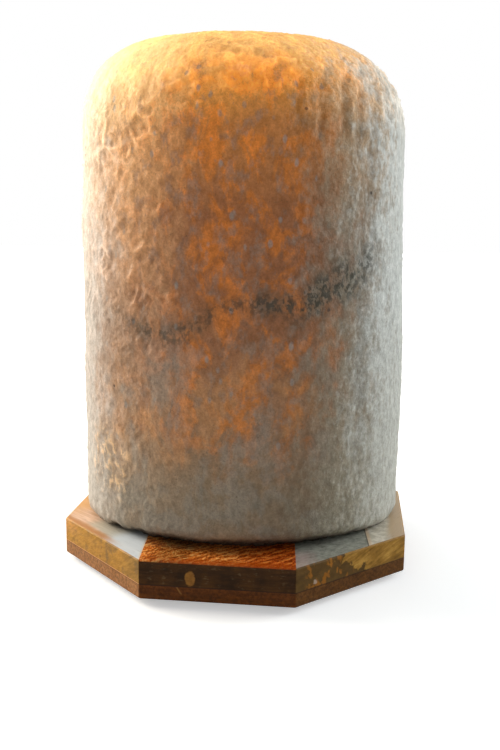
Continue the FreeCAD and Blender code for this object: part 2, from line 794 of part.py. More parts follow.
def terminals():
    """Two brass blocks under the disc, each with a hole for its screw and its rivet."""
    pieces = []
    screw_radius = S.terminal_screw_wide / 2 + S.fit_gap
    for name, rivet in (("neutral_terminal", RIVETS[0]), ("live_terminal", RIVETS[1])):
        body = new_body(name)
        floor = DISC_FLOOR - S.terminal_high
        outline = sketch_on(body, f"{name}_outline", lift=floor)
        draw_box(outline, rivet, ZERO, S.terminal_wide, S.terminal_deep)
        pad(body, f"{name}_block", outline, S.terminal_high)
        rivet_hole = sketch_on(body, f"{name}_rivet_outline", lift=DISC_FLOOR - S.rivet_deep)
        draw_circle(rivet_hole, RIVET_RADIUS + S.fit_gap, rivet)
        pocket_up(body, f"{name}_rivet_hole", rivet_hole, S.rivet_deep)
        screw_hole = sketch_on(body, f"{name}_screw_outline", "XZ_Plane")
        draw_circle(screw_hole, screw_radius, rivet, floor + S.terminal_screw_rise)
        cut = body.newObject("PartDesign::Pocket", f"{name}_screw_hole")
        cut.Profile = screw_hole
        cut.Midplane = True
        bind(cut, "Length", S.terminal_deep)
        pieces.append(body)
    return pieces


def terminal_screws():
    """Cheese-head screws, one in each block, heads to the front."""
    body = new_body("terminal_screws")
    radius = S.terminal_screw_wide / 2
    front = S.terminal_deep / 2
    height = DISC_FLOOR - S.terminal_high + S.terminal_screw_rise
    for name, rivet in (("neutral", RIVETS[0]), ("live", RIVETS[1])):
        for part, size, start, long in (
            ("shank", radius, -front, S.terminal_deep),
            ("head", S.terminal_head_wide / 2, front, S.terminal_head_high),
        ):
            outline = sketch_on(body, f"{name}_{part}_outline", "XZ_Plane", lift=start)
            draw_circle(outline, size, rivet, height)
            pad(body, f"{name}_{part}", outline, long)
    return body


def rivets():
    """Solid rivets that join each terminal to its contact through the disc."""
    body = new_body("contact_rivets")
    for name, middle in (("neutral", RIVETS[0]), ("live", RIVETS[1])):
        shank = sketch_on(body, f"{name}_rivet_shank", lift=DISC_FLOOR - S.rivet_deep)
        draw_circle(shank, RIVET_RADIUS, middle)
        pad(body, f"{name}_rivet", shank, S.insert_disc + S.rivet_deep + S.brass_thick)
        head = sketch_on(body, f"{name}_rivet_crown", lift=DISC_TOP + S.brass_thick)
        draw_circle(head, RIVET_RADIUS + S.brass_thick, middle)
        pad(body, f"{name}_rivet_head", head, S.brass_thick)
    return body


# ---------------------------------------------------------------- the bulb


def bulb_contact():
    """Solder tip: a low cone."""
    wide = S.tip_wide / 2
    return turned(
        "bulb_contact",
        [
            (ZERO, TIP_FLOOR),
            (S.tip_end_wide / 2, TIP_FLOOR),
            (wide, GLASS_RING_FLOOR),
            (ZERO, GLASS_RING_FLOOR),
        ],
    )


def cap_insulator():
    """Black glass between the tip and the brass cap."""
    wide = LAMP_CAP_RADIUS - S.brass_thick - S.fit_gap
    top = LAMP_CAP_FLOOR + S.brass_thick
    return turned(
        "cap_insulator",
        [
            (ZERO, GLASS_RING_FLOOR),
            (S.tip_wide / 2 + S.brass_thick, GLASS_RING_FLOOR),
            (wide, LAMP_CAP_FLOOR),
            (wide, top),
            (ZERO, top),
        ],
    )


def bulb_cap():
    """A brass sleeve round the neck of the glass."""
    inside = LAMP_CAP_RADIUS - S.brass_thick
    return turned(
        "bulb_cap",
        [
            (inside, LAMP_CAP_FLOOR),
            (LAMP_CAP_RADIUS, LAMP_CAP_FLOOR),
            (LAMP_CAP_RADIUS, LAMP_CAP_TOP),
            (inside, LAMP_CAP_TOP),
        ],
    )


def bulb_glass():
    """A blown envelope, its neck standing in the cap."""
    body = new_body("bulb_glass")
    outline = sketch_on(body, "bulb_glass_outline", "XZ_Plane")
    wide = S.bulb_wide / 2
    shoulder = LAMP_CAP_TOP + S.bulb_flare
    draw_polygon(
        outline,
        [
            (ZERO, NECK_FLOOR),
            (NECK_RADIUS, NECK_FLOOR),
            (NECK_RADIUS, LAMP_CAP_TOP),
            (wide, shoulder),
            (wide, BULB_TOP),
            (ZERO, BULB_TOP),
        ],
    )
    envelope = revolve(body, "bulb_glass_turning", outline)
    doc.recompute()
    bends = level_edges(envelope.Shape, LAMP_CAP_TOP.value) + level_edges(envelope.Shape, shoulder.value)
    softened = round_edges(body, "bulb_glass_flare", envelope, bends, S.bulb_bend)
    doc.recompute()
    dome = level_edges(softened.Shape, BULB_TOP.value)
    domed = round_edges(body, "bulb_glass_dome", softened, dome, wide - S.glass_thick)
    doc.recompute()
    mouth = [
        f"Face{number}"
        for number, face in enumerate(domed.Shape.Faces, start=1)
        if abs(face.BoundBox.ZMax - NECK_FLOOR.value) < NEAR
    ]
    hollow = body.newObject("PartDesign::Thickness", "bulb_glass_wall")
    hollow.Base = (domed, mouth)
    hollow.Reversed = True
    bind(hollow, "Value", S.glass_thick)
    return body


def bulb_stem():
    """Glass flare closing the neck, with the rod that carries the wires."""
    flare = NECK_RADIUS - S.glass_thick - S.fit_gap
    rod = S.stem_wide / 2
    return turned(
        "bulb_stem",
        [
            (ZERO, NECK_FLOOR),
            (flare, NECK_FLOOR),
            (flare, NECK_FLOOR + S.glass_thick),
            (rod, LAMP_CAP_TOP),
            (rod, STEM_TOP),
            (ZERO, STEM_TOP),
        ],
    )


def lead_wires():
    """Two wires that spread from the stem to the ends of the filament, square to its top."""
    body = new_body("lead_wires")
    radius = S.wire_wide / 2
    start = S.stem_wide / 2 - S.wire_wide
    for side in (-1, 1):
        name = "left" if side < 0 else "right"
        outline = sketch_on(body, f"{name}_wire_foot", lift=STEM_TOP)
        draw_circle(outline, radius, start * side)
        ends = sketch_on(body, f"{name}_wire_end", lift=WIRE_TOP)
        draw_circle(ends, radius, S.wire_spread * side)
        doc.recompute()
        wire = body.newObject("PartDesign::AdditiveLoft", f"{name}_wire")
        wire.Profile = outline
        wire.Sections = [ends]
    return body


def bulb_filament():
    """A fine wire between the ends of the lead wires, bowed upward."""
    body = new_body("bulb_filament")
    thin = S.filament_wide / 2
    half_arc = math.radians(FILAMENT_HALF_ARC)
    bow = S.wire_spread / math.sin(half_arc)
    pivot = WIRE_TOP + thin - bow * math.cos(half_arc)
    section = sketch_on(body, "filament_section", "YZ_Plane")
    draw_circle(section, thin, ZERO, pivot + bow)
    line = Part.LineSegment(Vector(-thin.value, pivot.value, 0), Vector(thin.value, pivot.value, 0))
    axis = section.addGeometry(line, True)
    section.addConstraint(Sketcher.Constraint("Horizontal", axis))
    place_point(section, axis, 2, thin, pivot)
    arc = revolve(body, "filament_arc", section, (section, ["Axis0"]))
    arc.Angle = 2 * FILAMENT_HALF_ARC
    arc.Midplane = True
    return body


# ---------------------------------------------------------------- the whole lamp


def all_pieces():
    return [
        salt_block(),
        lower_board(),
        *planks(),
        *feet(),
        *[wood_screws(kind) for kind in SCREWS],
        salt_plugs(),
        spring_clip(),
        clip_nut(),
        cord_bush(),
        holder_cap(),
        holder_shell(),
        holder_insert(),
        screw_shell(),
        centre_contact(),
        *terminals(),
        terminal_screws(),
        rivets(),
        bulb_contact(),
        cap_insulator(),
        bulb_cap(),
        bulb_glass(),
        bulb_stem(),
        lead_wires(),
        bulb_filament(),
    ]


def check(pieces):
    """Stops before anything is written if a feature failed or a piece is not a sound solid."""
    for thing in doc.Objects:
        if {"Invalid", "Error"} & set(thing.State):
            raise RuntimeError(f"{thing.Name} failed: {thing.State}")
    for piece in pieces:
        if piece.Shape.isNull() or not piece.Shape.isValid() or not piece.Shape.Solids:
            raise RuntimeError(f"{piece.Label} is not a sound solid")


def write(pieces):
    os.makedirs("parts", exist_ok=True)
    for piece in pieces:
        piece.Shape.exportStep(f"parts/{piece.Label}.step")


lamp = all_pieces()
doc.recompute()
check(lamp)
write(lamp)
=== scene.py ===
import itertools
import math
from functools import partial, reduce
from types import SimpleNamespace

import bpy
import numpy as np
from mathutils import Matrix, Vector


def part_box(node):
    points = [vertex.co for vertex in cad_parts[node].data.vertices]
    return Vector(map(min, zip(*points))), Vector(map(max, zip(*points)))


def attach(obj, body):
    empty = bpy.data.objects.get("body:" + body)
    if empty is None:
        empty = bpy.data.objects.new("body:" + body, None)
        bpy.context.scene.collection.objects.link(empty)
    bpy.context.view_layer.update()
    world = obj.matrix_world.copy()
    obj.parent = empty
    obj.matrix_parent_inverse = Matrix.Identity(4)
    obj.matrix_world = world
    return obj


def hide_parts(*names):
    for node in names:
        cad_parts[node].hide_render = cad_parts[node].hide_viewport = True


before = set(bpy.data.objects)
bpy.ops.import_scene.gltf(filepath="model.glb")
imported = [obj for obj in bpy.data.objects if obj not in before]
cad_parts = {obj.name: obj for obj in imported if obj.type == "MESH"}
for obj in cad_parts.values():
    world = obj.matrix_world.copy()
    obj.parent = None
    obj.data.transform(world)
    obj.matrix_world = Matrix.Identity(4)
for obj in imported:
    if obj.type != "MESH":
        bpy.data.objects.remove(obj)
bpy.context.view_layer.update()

# A salt lamp: a hewn block of rock salt that glows from inside, on an octagonal base of varnished
# planks. Metres, in the CAD frame: +Z up, the front of the base faces -Y.

MM = 0.001
BOARD_HIGH = Vector(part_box("lower_board")[1])
SALT_LOW, SALT_HIGH = [Vector(corner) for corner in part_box("salt_block")]
SALT_FLOOR = SALT_LOW.z
SALT_TOP = SALT_HIGH.z
SALT_MIDDLE_Y = (SALT_LOW.y + SALT_HIGH.y) / 2
HALF_WIDE = (SALT_HIGH.x - SALT_LOW.x) / 2
HALF_DEEP = (SALT_HIGH.y - SALT_LOW.y) / 2
EDGE = BOARD_HIGH.x  # middle of the base to a side of the octagon
DIAGONAL = math.sqrt(0.5)

# ---- camera

CAMERA_AT = Vector((43.6, -354.1, 136.5)) * MM
CAMERA_TURN = math.radians(6.5)  # the view's heading, to the left of straight back
CAMERA_PITCH = math.radians(10.3)  # and down
CAMERA_ROLL = math.radians(0.69)
CAMERA_LENS = 42.7  # for a 36 mm sensor along the picture's longer side


def add_camera():
    level, down = math.cos(CAMERA_PITCH), math.sin(CAMERA_PITCH)
    forward = Vector((-math.sin(CAMERA_TURN) * level, math.cos(CAMERA_TURN) * level, -down))
    data = bpy.data.cameras.new("camera")
    data.lens = CAMERA_LENS
    data.sensor_width = 36
    data.clip_start = 0.01
    camera = bpy.data.objects.new("camera", data)
    bpy.context.scene.collection.objects.link(camera)
    aim = forward.to_track_quat("-Z", "Y").to_matrix().to_4x4()
    camera.matrix_world = Matrix.Translation(CAMERA_AT) @ aim @ Matrix.Rotation(CAMERA_ROLL, 4, "Z")
    bpy.context.scene.camera = camera


# ---- seeded noise for the meshes


def lattice_gradients(cell, seed):
    """Unit gradients hashed from integer lattice points."""
    mixed = cell[:, 0] * 73856093 ^ cell[:, 1] * 19349663 ^ cell[:, 2] * 83492791 ^ seed * 2654435761
    mixed = (mixed ^ (mixed >> 13)) * 1274126177 & 0x7FFFFFFF
    turn = (mixed & 0xFFFF) / 65536 * 2 * math.pi
    rise = ((mixed >> 16) & 0x7FFF) / 32768 * 2 - 1
    flat = np.sqrt(1 - rise**2)
    return np.stack([flat * np.cos(turn), flat * np.sin(turn), rise], axis=1)


def gradient_noise(points, seed):
    """Smooth noise of about -1 to 1 at each point, one unit of distance a cell."""
    cell = np.floor(points).astype(np.int64)
    local = points - cell
    fade = local**3 * (local * (local * 6 - 15) + 10)
    total = np.zeros(len(points))
    for corner in itertools.product((0, 1), repeat=3):
        step = np.array(corner)
        weight = np.prod(np.where(step == 1, fade, 1 - fade), axis=1)
        total += weight * np.sum(lattice_gradients(cell + step, seed) * (local - step), axis=1)
    return total * 1.6


def smooth_step(low, high, values):
    part = np.clip((values - low) / (high - low), 0, 1)
    return part * part * (3 - 2 * part)


def scoops(points, seed):
    """Hollows struck side by side, from about 0 in the deepest to 1 on the ridges between them."""
    cell = np.floor(points).astype(np.int64)
    local = points - cell
    lowest = np.full(len(points), 9.0)
    for corner in itertools.product((-1, 0, 1), repeat=3):
        step = np.array(corner)
        jitter = lattice_gradients(cell + step, seed)
        away = local - step - 0.5 - 0.42 * jitter
        lowest = np.minimum(lowest, np.sum(away * away, axis=1) + 0.28 + 0.28 * jitter[:, 0])
    return lowest


# ---- meshes


def ring_points(radius, turn, height):
    return np.stack([radius * np.cos(turn), radius * np.sin(turn), height + 0 * turn], axis=1)


def add_mesh(name, points, faces):
    mesh = bpy.data.meshes.new(name)
    mesh.from_pydata([tuple(point) for point in points], [], faces)
    mesh.validate()
    mesh.polygons.foreach_set("use_smooth", [True] * len(mesh.polygons))
    thing = bpy.data.objects.new(name, mesh)
    bpy.context.scene.collection.objects.link(thing)
    return thing


def ring_faces(rings, columns, closed=False):
    """Quads between neighbouring rings; a closed shell joins its last ring to its first."""
    faces = []
    for ring in range(rings if closed else rings - 1):
        low = ring * columns
        high = (ring + 1) % rings * columns
        for column in range(columns):
            after = (column + 1) % columns
            faces.append((low + column, low + after, high + after, high + column))
    return faces


def ring_normals(grid):
    """Outward normals of a grid of points, rings by columns."""
    around = np.roll(grid, -1, axis=1) - np.roll(grid, 1, axis=1)
    up = np.gradient(grid, axis=0)
    normal = np.cross(around, up)
    return normal / np.maximum(np.linalg.norm(normal, axis=2, keepdims=True), 1e-12)


# ---- the block of salt

BORE_RADIUS = 23 * MM
BORE_TOP = SALT_FLOOR + 124 * MM
BORE_END_ROUND = 5 * MM
COLUMNS = 620
RING_STEP = 0.68 * MM
CROWN_LEFT, CROWN_RIGHT = 32 * MM, 37 * MM
CROWN_POWER = 0.9  # 1 is a quarter circle, less is squarer
CROWN_SINK = 1.5 * MM
LEAN_LEFT, LEAN_RIGHT = 0.6 * MM, 2.2 * MM  # how far the wall leans in below the crown
UNDERCUT = 5.5 * MM  # how far the underside is set back behind the rim
RIM_SIDE, RIM_FRONT = 1.2 * MM, 3.4 * MM
RIM_ROUND_SIDE, RIM_ROUND_FRONT = 1.6 * MM, 3.6 * MM  # how far the wall curls in above the rim
RIM_ROUND_HIGH = 4.5 * MM
RAGGED = [(14, 31, 0.5), (3.7, 32, 0.8), (1.7, 33, 0.8)]  # the rim's waves: millimetres, seed, share
NOTCHES = [(-134.5, 3.6, 1.9 * MM), (-122.5, 4.6, 1.5 * MM)]  # angle and half width in degrees, depth
BROKEN_AT = (-44.0, -38.0, 45.0)  # a patch of broken crystals at the lower left, in millimetres
BROKEN_REACH = 19.0
UNDER_RINGS, BORE_END_RINGS, BORE_WALL_RINGS, BORE_TO_RIM_RINGS = 8, 8, 30, 12


def salt_side(turn):
    """Distance of the block's side from its middle at each angle."""
    return HALF_WIDE * HALF_DEEP / np.hypot(HALF_DEEP * np.cos(turn), HALF_WIDE * np.sin(turn))


def to_front(turn, side, front):
    """A value that goes from side to front round the block's face, sooner on its right."""
    to_right = smooth_step(-0.3, 0.3, np.cos(turn))
    turned = smooth_step(0.55 - 0.25 * to_right, 1.0 - 0.15 * to_right, -np.sin(turn))
    return side + (front - side) * turned


def rim_height(turn):
    """The broken edge's height above the planks round the block."""
    at = np.stack([np.cos(turn), np.sin(turn), 0 * turn], axis=1) * HALF_WIDE / MM
    ragged = sum(share * gradient_noise(at / size, seed) for size, seed, share in RAGGED)
    height = to_front(turn, RIM_SIDE, RIM_FRONT) * np.maximum(1 + 0.26 * ragged, 0.3)
    for angle, half, depth in NOTCHES:
        off = np.abs(np.angle(np.exp(1j * (turn - math.radians(angle)))))
        height = height + depth * smooth_step(math.radians(half), math.radians(half) * 0.5, off)
    return height


def salt_rings(turn):
    """Radius and height, one row a ring, from the underside over the crown to the middle."""
    side = salt_side(turn)
    crown = (CROWN_LEFT + CROWN_RIGHT) / 2 + (CROWN_RIGHT - CROWN_LEFT) / 2 * np.cos(turn)
    top = SALT_TOP - CROWN_SINK
    rim = rim_height(turn)
    foot = to_front(turn, RIM_SIDE, RIM_FRONT)
    curl = to_front(turn, RIM_ROUND_SIDE, RIM_ROUND_FRONT)
    curl_at_rim = curl * np.clip(1 - (rim - foot) / RIM_ROUND_HIGH, 0, 1.2) ** 2
    lean = (LEAN_LEFT + LEAN_RIGHT) / 2 + (LEAN_RIGHT - LEAN_LEFT) / 2 * np.cos(turn)
    rings = []
    for part in np.linspace(0, 1, UNDER_RINGS)[:-1]:
        rings.append((side - curl_at_rim - UNDERCUT * (1 - part), SALT_FLOOR + rim * part**0.5))
    wall = top - SALT_FLOOR - rim - crown
    steps = round(float(np.max(wall)) / RING_STEP)
    for part in np.linspace(0, 1, steps)[:-1]:
        above_rim = wall * part
        inset = curl * np.clip(1 - (rim - foot + above_rim) / RIM_ROUND_HIGH, 0, 1.2) ** 2
        rings.append((side - inset - lean * smooth_step(0.4, 1.0, part), SALT_FLOOR + rim + above_rim))
    side = side - lean
    steps = round(CROWN_RIGHT * math.pi / 2 / RING_STEP)
    for bend in np.linspace(0, math.pi / 2, steps)[:-1]:
        inset = crown * (1 - math.cos(bend) ** CROWN_POWER)
        rings.append((side - inset, top - crown * (1 - math.sin(bend) ** CROWN_POWER)))
    steps = round((HALF_WIDE - CROWN_LEFT) / RING_STEP)
    for part in np.linspace(1, 0.02, steps):
        rings.append(((side - crown) * part, top + 0 * turn))
    return rings


def crags(points, seed):
    """Broken rock from 0 to about 1.6: crests that branch, with smaller ones on the larger."""
    total = np.zeros(len(points))
    weight = np.ones(len(points))
    for octave in range(4):
        wave = np.abs(gradient_noise(points * 1.9**octave + 17 * octave, seed + octave))
        crest = (1 - np.minimum(wave * 1.6, 1)) ** 2
        total += crest * weight * 0.55**octave
        weight = np.clip(crest * 1.6, 0.15, 1)
    return total


GROOVES = [  # across, lowest, highest, half width and depth in millimetres
    (24.0, 166, 182, 1.6, 0.5),
    (31.5, 161, 184, 1.5, 0.8),
    (38.5, 164, 188, 1.3, 0.9),
    (43.5, 160, 181, 1.8, 0.7),
    (48.5, 150, 173, 1.6, 0.6),
    (46.5, 45, 150, 2.4, 0.5),
]


def grooves(at):
    """Upright grooves in the right shoulder and along the edge of the right facet."""
    wobble = gradient_noise(at / 9, 41) * 1.3
    depth = np.zeros(len(at))
    for across, low, high, half, deep in GROOVES:
        off = (at[:, 0] + wobble - across) / half
        along = smooth_step(low - 5, low + 5, at[:, 2]) * smooth_step(high + 4, high - 5, at[:, 2])
        depth += deep * np.exp(-off * off) * along
    return depth * (at[:, 1] < 0)


# sizes of the marks on the salt, in millimetres
SWELL_LARGE, SWELL_SMALL = 38, 13
LEAN_LARGE, LEAN_SMALL = 20, 5  # the marks' pattern is bent by waves of these sizes
GROUP = 14  # broken rock comes in groups of about this size
CRAG, SCOOP, FLAKE, EDGE_CHIP = 7.4, 4.4, 2.2, 2.6
STROKE, LUMP, GRAIN = 4.2, 2.0, 1.3
EDGE_LOW, EDGE_HIGH = 2, 9  # chips fade out between these heights above the planks


def lean(at, size, seeds, amount):
    """Waves along X, Y and Z, by which the pattern of the marks is bent."""
    return np.stack([gradient_noise(at / size, seed) for seed in seeds], axis=1) * amount


def hew(points, normals):
    """How far time and chisel moved each point along its normal, in millimetres: swell and marks."""
    at = points / MM
    aside = at[:, 0] * MM / HALF_WIDE
    rise = (at[:, 2] * MM - SALT_FLOOR) / (SALT_TOP - SALT_FLOOR)
    bent = at + lean(at, LEAN_LARGE, (21, 22, 23), 3.2)
    bent += lean(at, LEAN_SMALL, (24, 25, 26), 1.1)
    swell = gradient_noise(at / SWELL_LARGE, 3) * 0.5 + gradient_noise(at / SWELL_SMALL, 5) * 0.3

    # where the surface is rough: in groups, to the left, on the crown but not in its bright corner
    flat_top = smooth_step(0.5, 0.9, normals[:, 2])
    shoulder = smooth_step(0.15, 0.4, normals[:, 2]) * (1 - flat_top)
    broken = np.clip(1.15 - np.linalg.norm(at - BROKEN_AT, axis=1) / BROKEN_REACH, 0, 1)
    to_left, to_right = smooth_step(-0.1, -0.5, aside), smooth_step(0.2, 0.6, aside)
    groups = smooth_step(-0.05, 0.38, gradient_noise(at / GROUP, 19) + 0.34 * shoulder)
    groups = np.maximum(groups, 0.25 * to_left) * (1 - 0.7 * smooth_step(0.46, 0.36, rise))
    bright_corner = smooth_step(0.88, 0.95, rise - 0.12 * aside) * to_left
    crust = smooth_step(0.78, 0.88, rise) * (1 - bright_corner)
    rough = 0.35 + 0.65 * np.maximum(to_left, 0.65 * crust)
    rough = rough * (1 - 0.6 * flat_top) * (1 - 0.85 * bright_corner)
    rough = rough * (1 - 0.55 * smooth_step(-0.7, -0.92, aside))
    low_edge = smooth_step(EDGE_HIGH, EDGE_LOW, at[:, 2] - SALT_FLOOR / MM)

    rock = (crags(bent * (1, 1, 1.35) / CRAG, 61) - 0.55) * groups * 0.7
    rock += (scoops(bent * (1, 1, 1.2) / SCOOP, 71) - 0.5) * (0.25 + 0.75 * groups)
    flakes = scoops(bent * (1, 1, 1.25) / FLAKE, 11) - 0.45
    flakes = flakes * (0.06 + 0.2 * groups * rough + 0.42 * broken)
    flakes += (scoops(bent / EDGE_CHIP, 51) - 0.5) * 0.5 * low_edge
    stroke = gradient_noise(bent * (1, 1, 0.45) / STROKE, 29) * (0.05 + 0.09 * to_right)
    lump = gradient_noise(bent / LUMP, 13) * (0.09 + 0.08 * to_left + 0.13 * crust)
    grain = gradient_noise(at / GRAIN, 17) * (0.05 + 0.05 * groups + 0.08 * crust)
    marks = (rock * rough + flakes + stroke + lump + grain) * (1 - 0.5 * bright_corner)
    return swell, marks - grooves(at)


def salt_bore(turn, rim):
    """Rings from the end of the bore down its wall and out over the underside to the rim."""
    rings = []
    for bend in np.linspace(math.pi / 2, 0, BORE_END_RINGS):
        radius = BORE_RADIUS - BORE_END_ROUND * (1 - math.cos(bend))
        rings.append((radius, BORE_TOP - BORE_END_ROUND * (1 - math.sin(bend))))
    for height in np.linspace(BORE_TOP - BORE_END_ROUND, SALT_FLOOR, BORE_WALL_RINGS)[1:]:
        rings.append((BORE_RADIUS, height))
    bore = [ring_points(radius, turn, height) for radius, height in rings]
    mouth = bore[-1]
    under = [mouth + (rim - mouth) * part for part in np.linspace(0, 1, BORE_TO_RIM_RINGS)[1:-1]]
    return np.array(bore + under)


def add_salt():
    turn = np.linspace(0, 2 * math.pi, COLUMNS, endpoint=False)
    rings = salt_rings(turn)
    radius = np.array([ring[0] for ring in rings])
    height = np.array([ring[1] for ring in rings])
    grid = np.stack([radius * np.cos(turn), SALT_MIDDLE_Y + radius * np.sin(turn), height], axis=2)
    normals = ring_normals(grid).reshape(-1, 3)
    points = grid.reshape(-1, 3)
    swell, marks = hew(points, normals)
    above = smooth_step(0, 3 * MM, points[:, 2] - SALT_FLOOR)
    points = points + normals * ((swell + marks + 0.5) * MM * (0.35 + 0.65 * above))[:, None]
    points[:, 2] = np.maximum(points[:, 2], SALT_FLOOR)
    outer = points.reshape(len(rings), COLUMNS, 3)
    outer[0, :, 2] = SALT_FLOOR
    inner = salt_bore(turn, outer[0])
    shell = np.concatenate([inner, outer])
    faces = ring_faces(len(shell), COLUMNS)
    count = len(shell) * COLUMNS
    last = count - COLUMNS
    for column in range(COLUMNS):
        after = (column + 1) % COLUMNS
        faces.append((last + column, last + after, count))
        faces.append((after, column, count + 1))
    ends = [shell[-1].mean(axis=0), shell[0].mean(axis=0)]
    salt = add_mesh("salt_rock", np.concatenate([shell.reshape(-1, 3), ends]), faces)
    relief = np.zeros(count + 2)
    relief[len(inner) * COLUMNS : count] = marks
    layer = salt.data.attributes.new("relief", "FLOAT", "POINT")
    layer.data.foreach_set("value", relief.astype(np.float32))
    return salt


# ---- threads of bulb and holder

THREAD_PITCH = 2.82 * MM
THREAD_COLUMNS = 96
THREAD_STEP = 0.24 * MM


def add_threaded_sleeve(name, node, inside, outside, depth, rings_plain=0.0):
    """A thin sleeve whose walls follow one right-hand thread, in the height of a CAD node."""
    low, high = [Vector(corner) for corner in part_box(node)]
    turn = np.linspace(0, 2 * math.pi, THREAD_COLUMNS, endpoint=False)
    heights = np.linspace(low.z, high.z, round((high.z - low.z) / THREAD_STEP))
    outer, inner = [], []
    for height in heights:
        fade = smooth_step(0, 1.2 * MM, min(height - low.z, high.z - rings_plain - height))
        wave = depth * fade * np.cos(2 * math.pi * height / THREAD_PITCH - turn)
        for wall, radius in ((outer, outside), (inner, inside)):
            wall.append(ring_points(radius + wave, turn, height))
    rings = np.array(outer + inner[::-1])
    return add_mesh(name, rings.reshape(-1, 3), ring_faces(len(rings), THREAD_COLUMNS, closed=True))


# ---- node graphs


class Graph:
    """Builds one material's nodes. Sockets and plain numbers go in, sockets come out."""

    def __init__(self, name):
        self.material = bpy.data.materials.new(name)
        self.material.use_nodes = True
        self.tree = self.material.node_tree
        self.tree.nodes.clear()

    def node(self, kind, inputs=(), **settings):
        node = self.tree.nodes.new("ShaderNode" + kind)
        for key, value in settings.items():
            setattr(node, key, value)
        for key, value in dict(inputs).items():
            self.put(node.inputs[key], value)
        return node

    def put(self, socket, value):
        if isinstance(value, bpy.types.NodeSocket):
            self.tree.links.new(value, socket)
        elif isinstance(value, (tuple, list)) and len(value) == 3 and len(socket.default_value) == 4:
            socket.default_value = (*value, 1)
        else:
            socket.default_value = value

    def math(self, operation, *values):
        return self.node("Math", dict(enumerate(values)), operation=operation).outputs[0]

    def times(self, *values):
        return reduce(partial(self.math, "MULTIPLY"), values)

    def plus(self, *values):
        return reduce(partial(self.math, "ADD"), values)

    def less(self, value, amount):
        """1 minus an amount of value."""
        return self.math("SUBTRACT", 1.0, self.math("MULTIPLY", value, amount))

    def swing(self, value, amount):
        """How far a noise is from its middle, times an amount."""
        return self.math("MULTIPLY", self.math("SUBTRACT", value, 0.5), amount)

    def place(self, scale=(1, 1, 1), turn=(0, 0, 0), shift=(0, 0, 0)):
        """Object coordinates, turned, moved and then scaled."""
        coordinates = self.node("TexCoord").outputs["Object"]
        mapped = self.node("Mapping", {"Vector": coordinates, "Rotation": turn, "Location": shift})
        scaled = self.node("VectorMath", {0: mapped.outputs[0], 1: scale}, operation="MULTIPLY")
        return scaled.outputs[0]

    def axes(self, vector):
        return tuple(self.node("SeparateXYZ", {0: vector}).outputs)

    def length(self, vector):
        return self.node("VectorMath", {0: vector}, operation="LENGTH").outputs["Value"]

    def distance(self, vector, point):
        ends = {0: vector, 1: point}
        return self.node("VectorMath", ends, operation="DISTANCE").outputs["Value"]

    def facing(self):
        """The surface normal's parts in the object's own axes."""
        return self.axes(self.node("TexCoord").outputs["Normal"])

    def noise(self, vector, scale, detail, rough, twist=0.0):
        inputs = {"Vector": vector, "Scale": scale, "Detail": detail, "Roughness": rough}
        return self.node("TexNoise", {**inputs, "Distortion": twist}).outputs[0]

    def cells(self, vector, scale):
        """Distance to the nearest of scattered points, and one random number a point."""
        node = self.node("TexVoronoi", {"Vector": vector, "Scale": scale})
        return node.outputs["Distance"], self.axes(node.outputs["Color"])[0]

    def waves(self, vector, scale, twist, detail=2.0, twist_scale=1.0):
        inputs = {"Vector": vector, "Scale": scale, "Distortion": twist, "Detail": detail}
        inputs["Detail Scale"] = twist_scale
        return self.node("TexWave", inputs, bands_direction="Y").outputs["Fac"]

    def steps(self, value, low, high, start=0.0, end=1.0):
        """A smooth change from start to end as value goes from low to high."""
        inputs = {"Value": value, "From Min": low, "From Max": high, "To Min": start, "To Max": end}
        return self.node("MapRange", inputs, interpolation_type="SMOOTHSTEP").outputs[0]

    def spread(self, noise, low, high):
        """A noise's usual range turned into the one from low to high."""
        return self.steps(noise, 0.3, 0.7, low, high)

    def ramp(self, value, stops):
        """A colour, or a grey level where the stops hold plain numbers, along value."""
        node = self.node("ValToRGB", {0: value})
        elements = node.color_ramp.elements
        while len(elements) < len(stops):
            elements.new(0.5)
        for element, (position, colour) in zip(elements, stops):
            element.position = position
            element.color = (*colour, 1) if isinstance(colour, tuple) else (colour, colour, colour, 1)
        return node.outputs[0]

    def mix(self, factor, first, second, blend="MIX"):
        inputs = {0: factor, 6: first, 7: second}
        return self.node("Mix", inputs, data_type="RGBA", blend_type=blend).outputs[2]

    def shade_by(self, colour, amount):
        """Colour times a grey amount."""
        grey = self.node("CombineXYZ", {0: amount, 1: amount, 2: amount}).outputs[0]
        return self.mix(1.0, colour, grey, "MULTIPLY")

    def bump(self, height, distance, strength):
        inputs = {"Height": height, "Distance": distance, "Strength": strength}
        return self.node("Bump", inputs).outputs[0]

    def finish(self, **inputs):
        named = {key.replace("_", " "): value for key, value in inputs.items()}
        shader = self.node("BsdfPrincipled", named)
        out = self.node("OutputMaterial")
        self.tree.links.new(shader.outputs[0], out.inputs[0])
        return self.material


# ---- salt

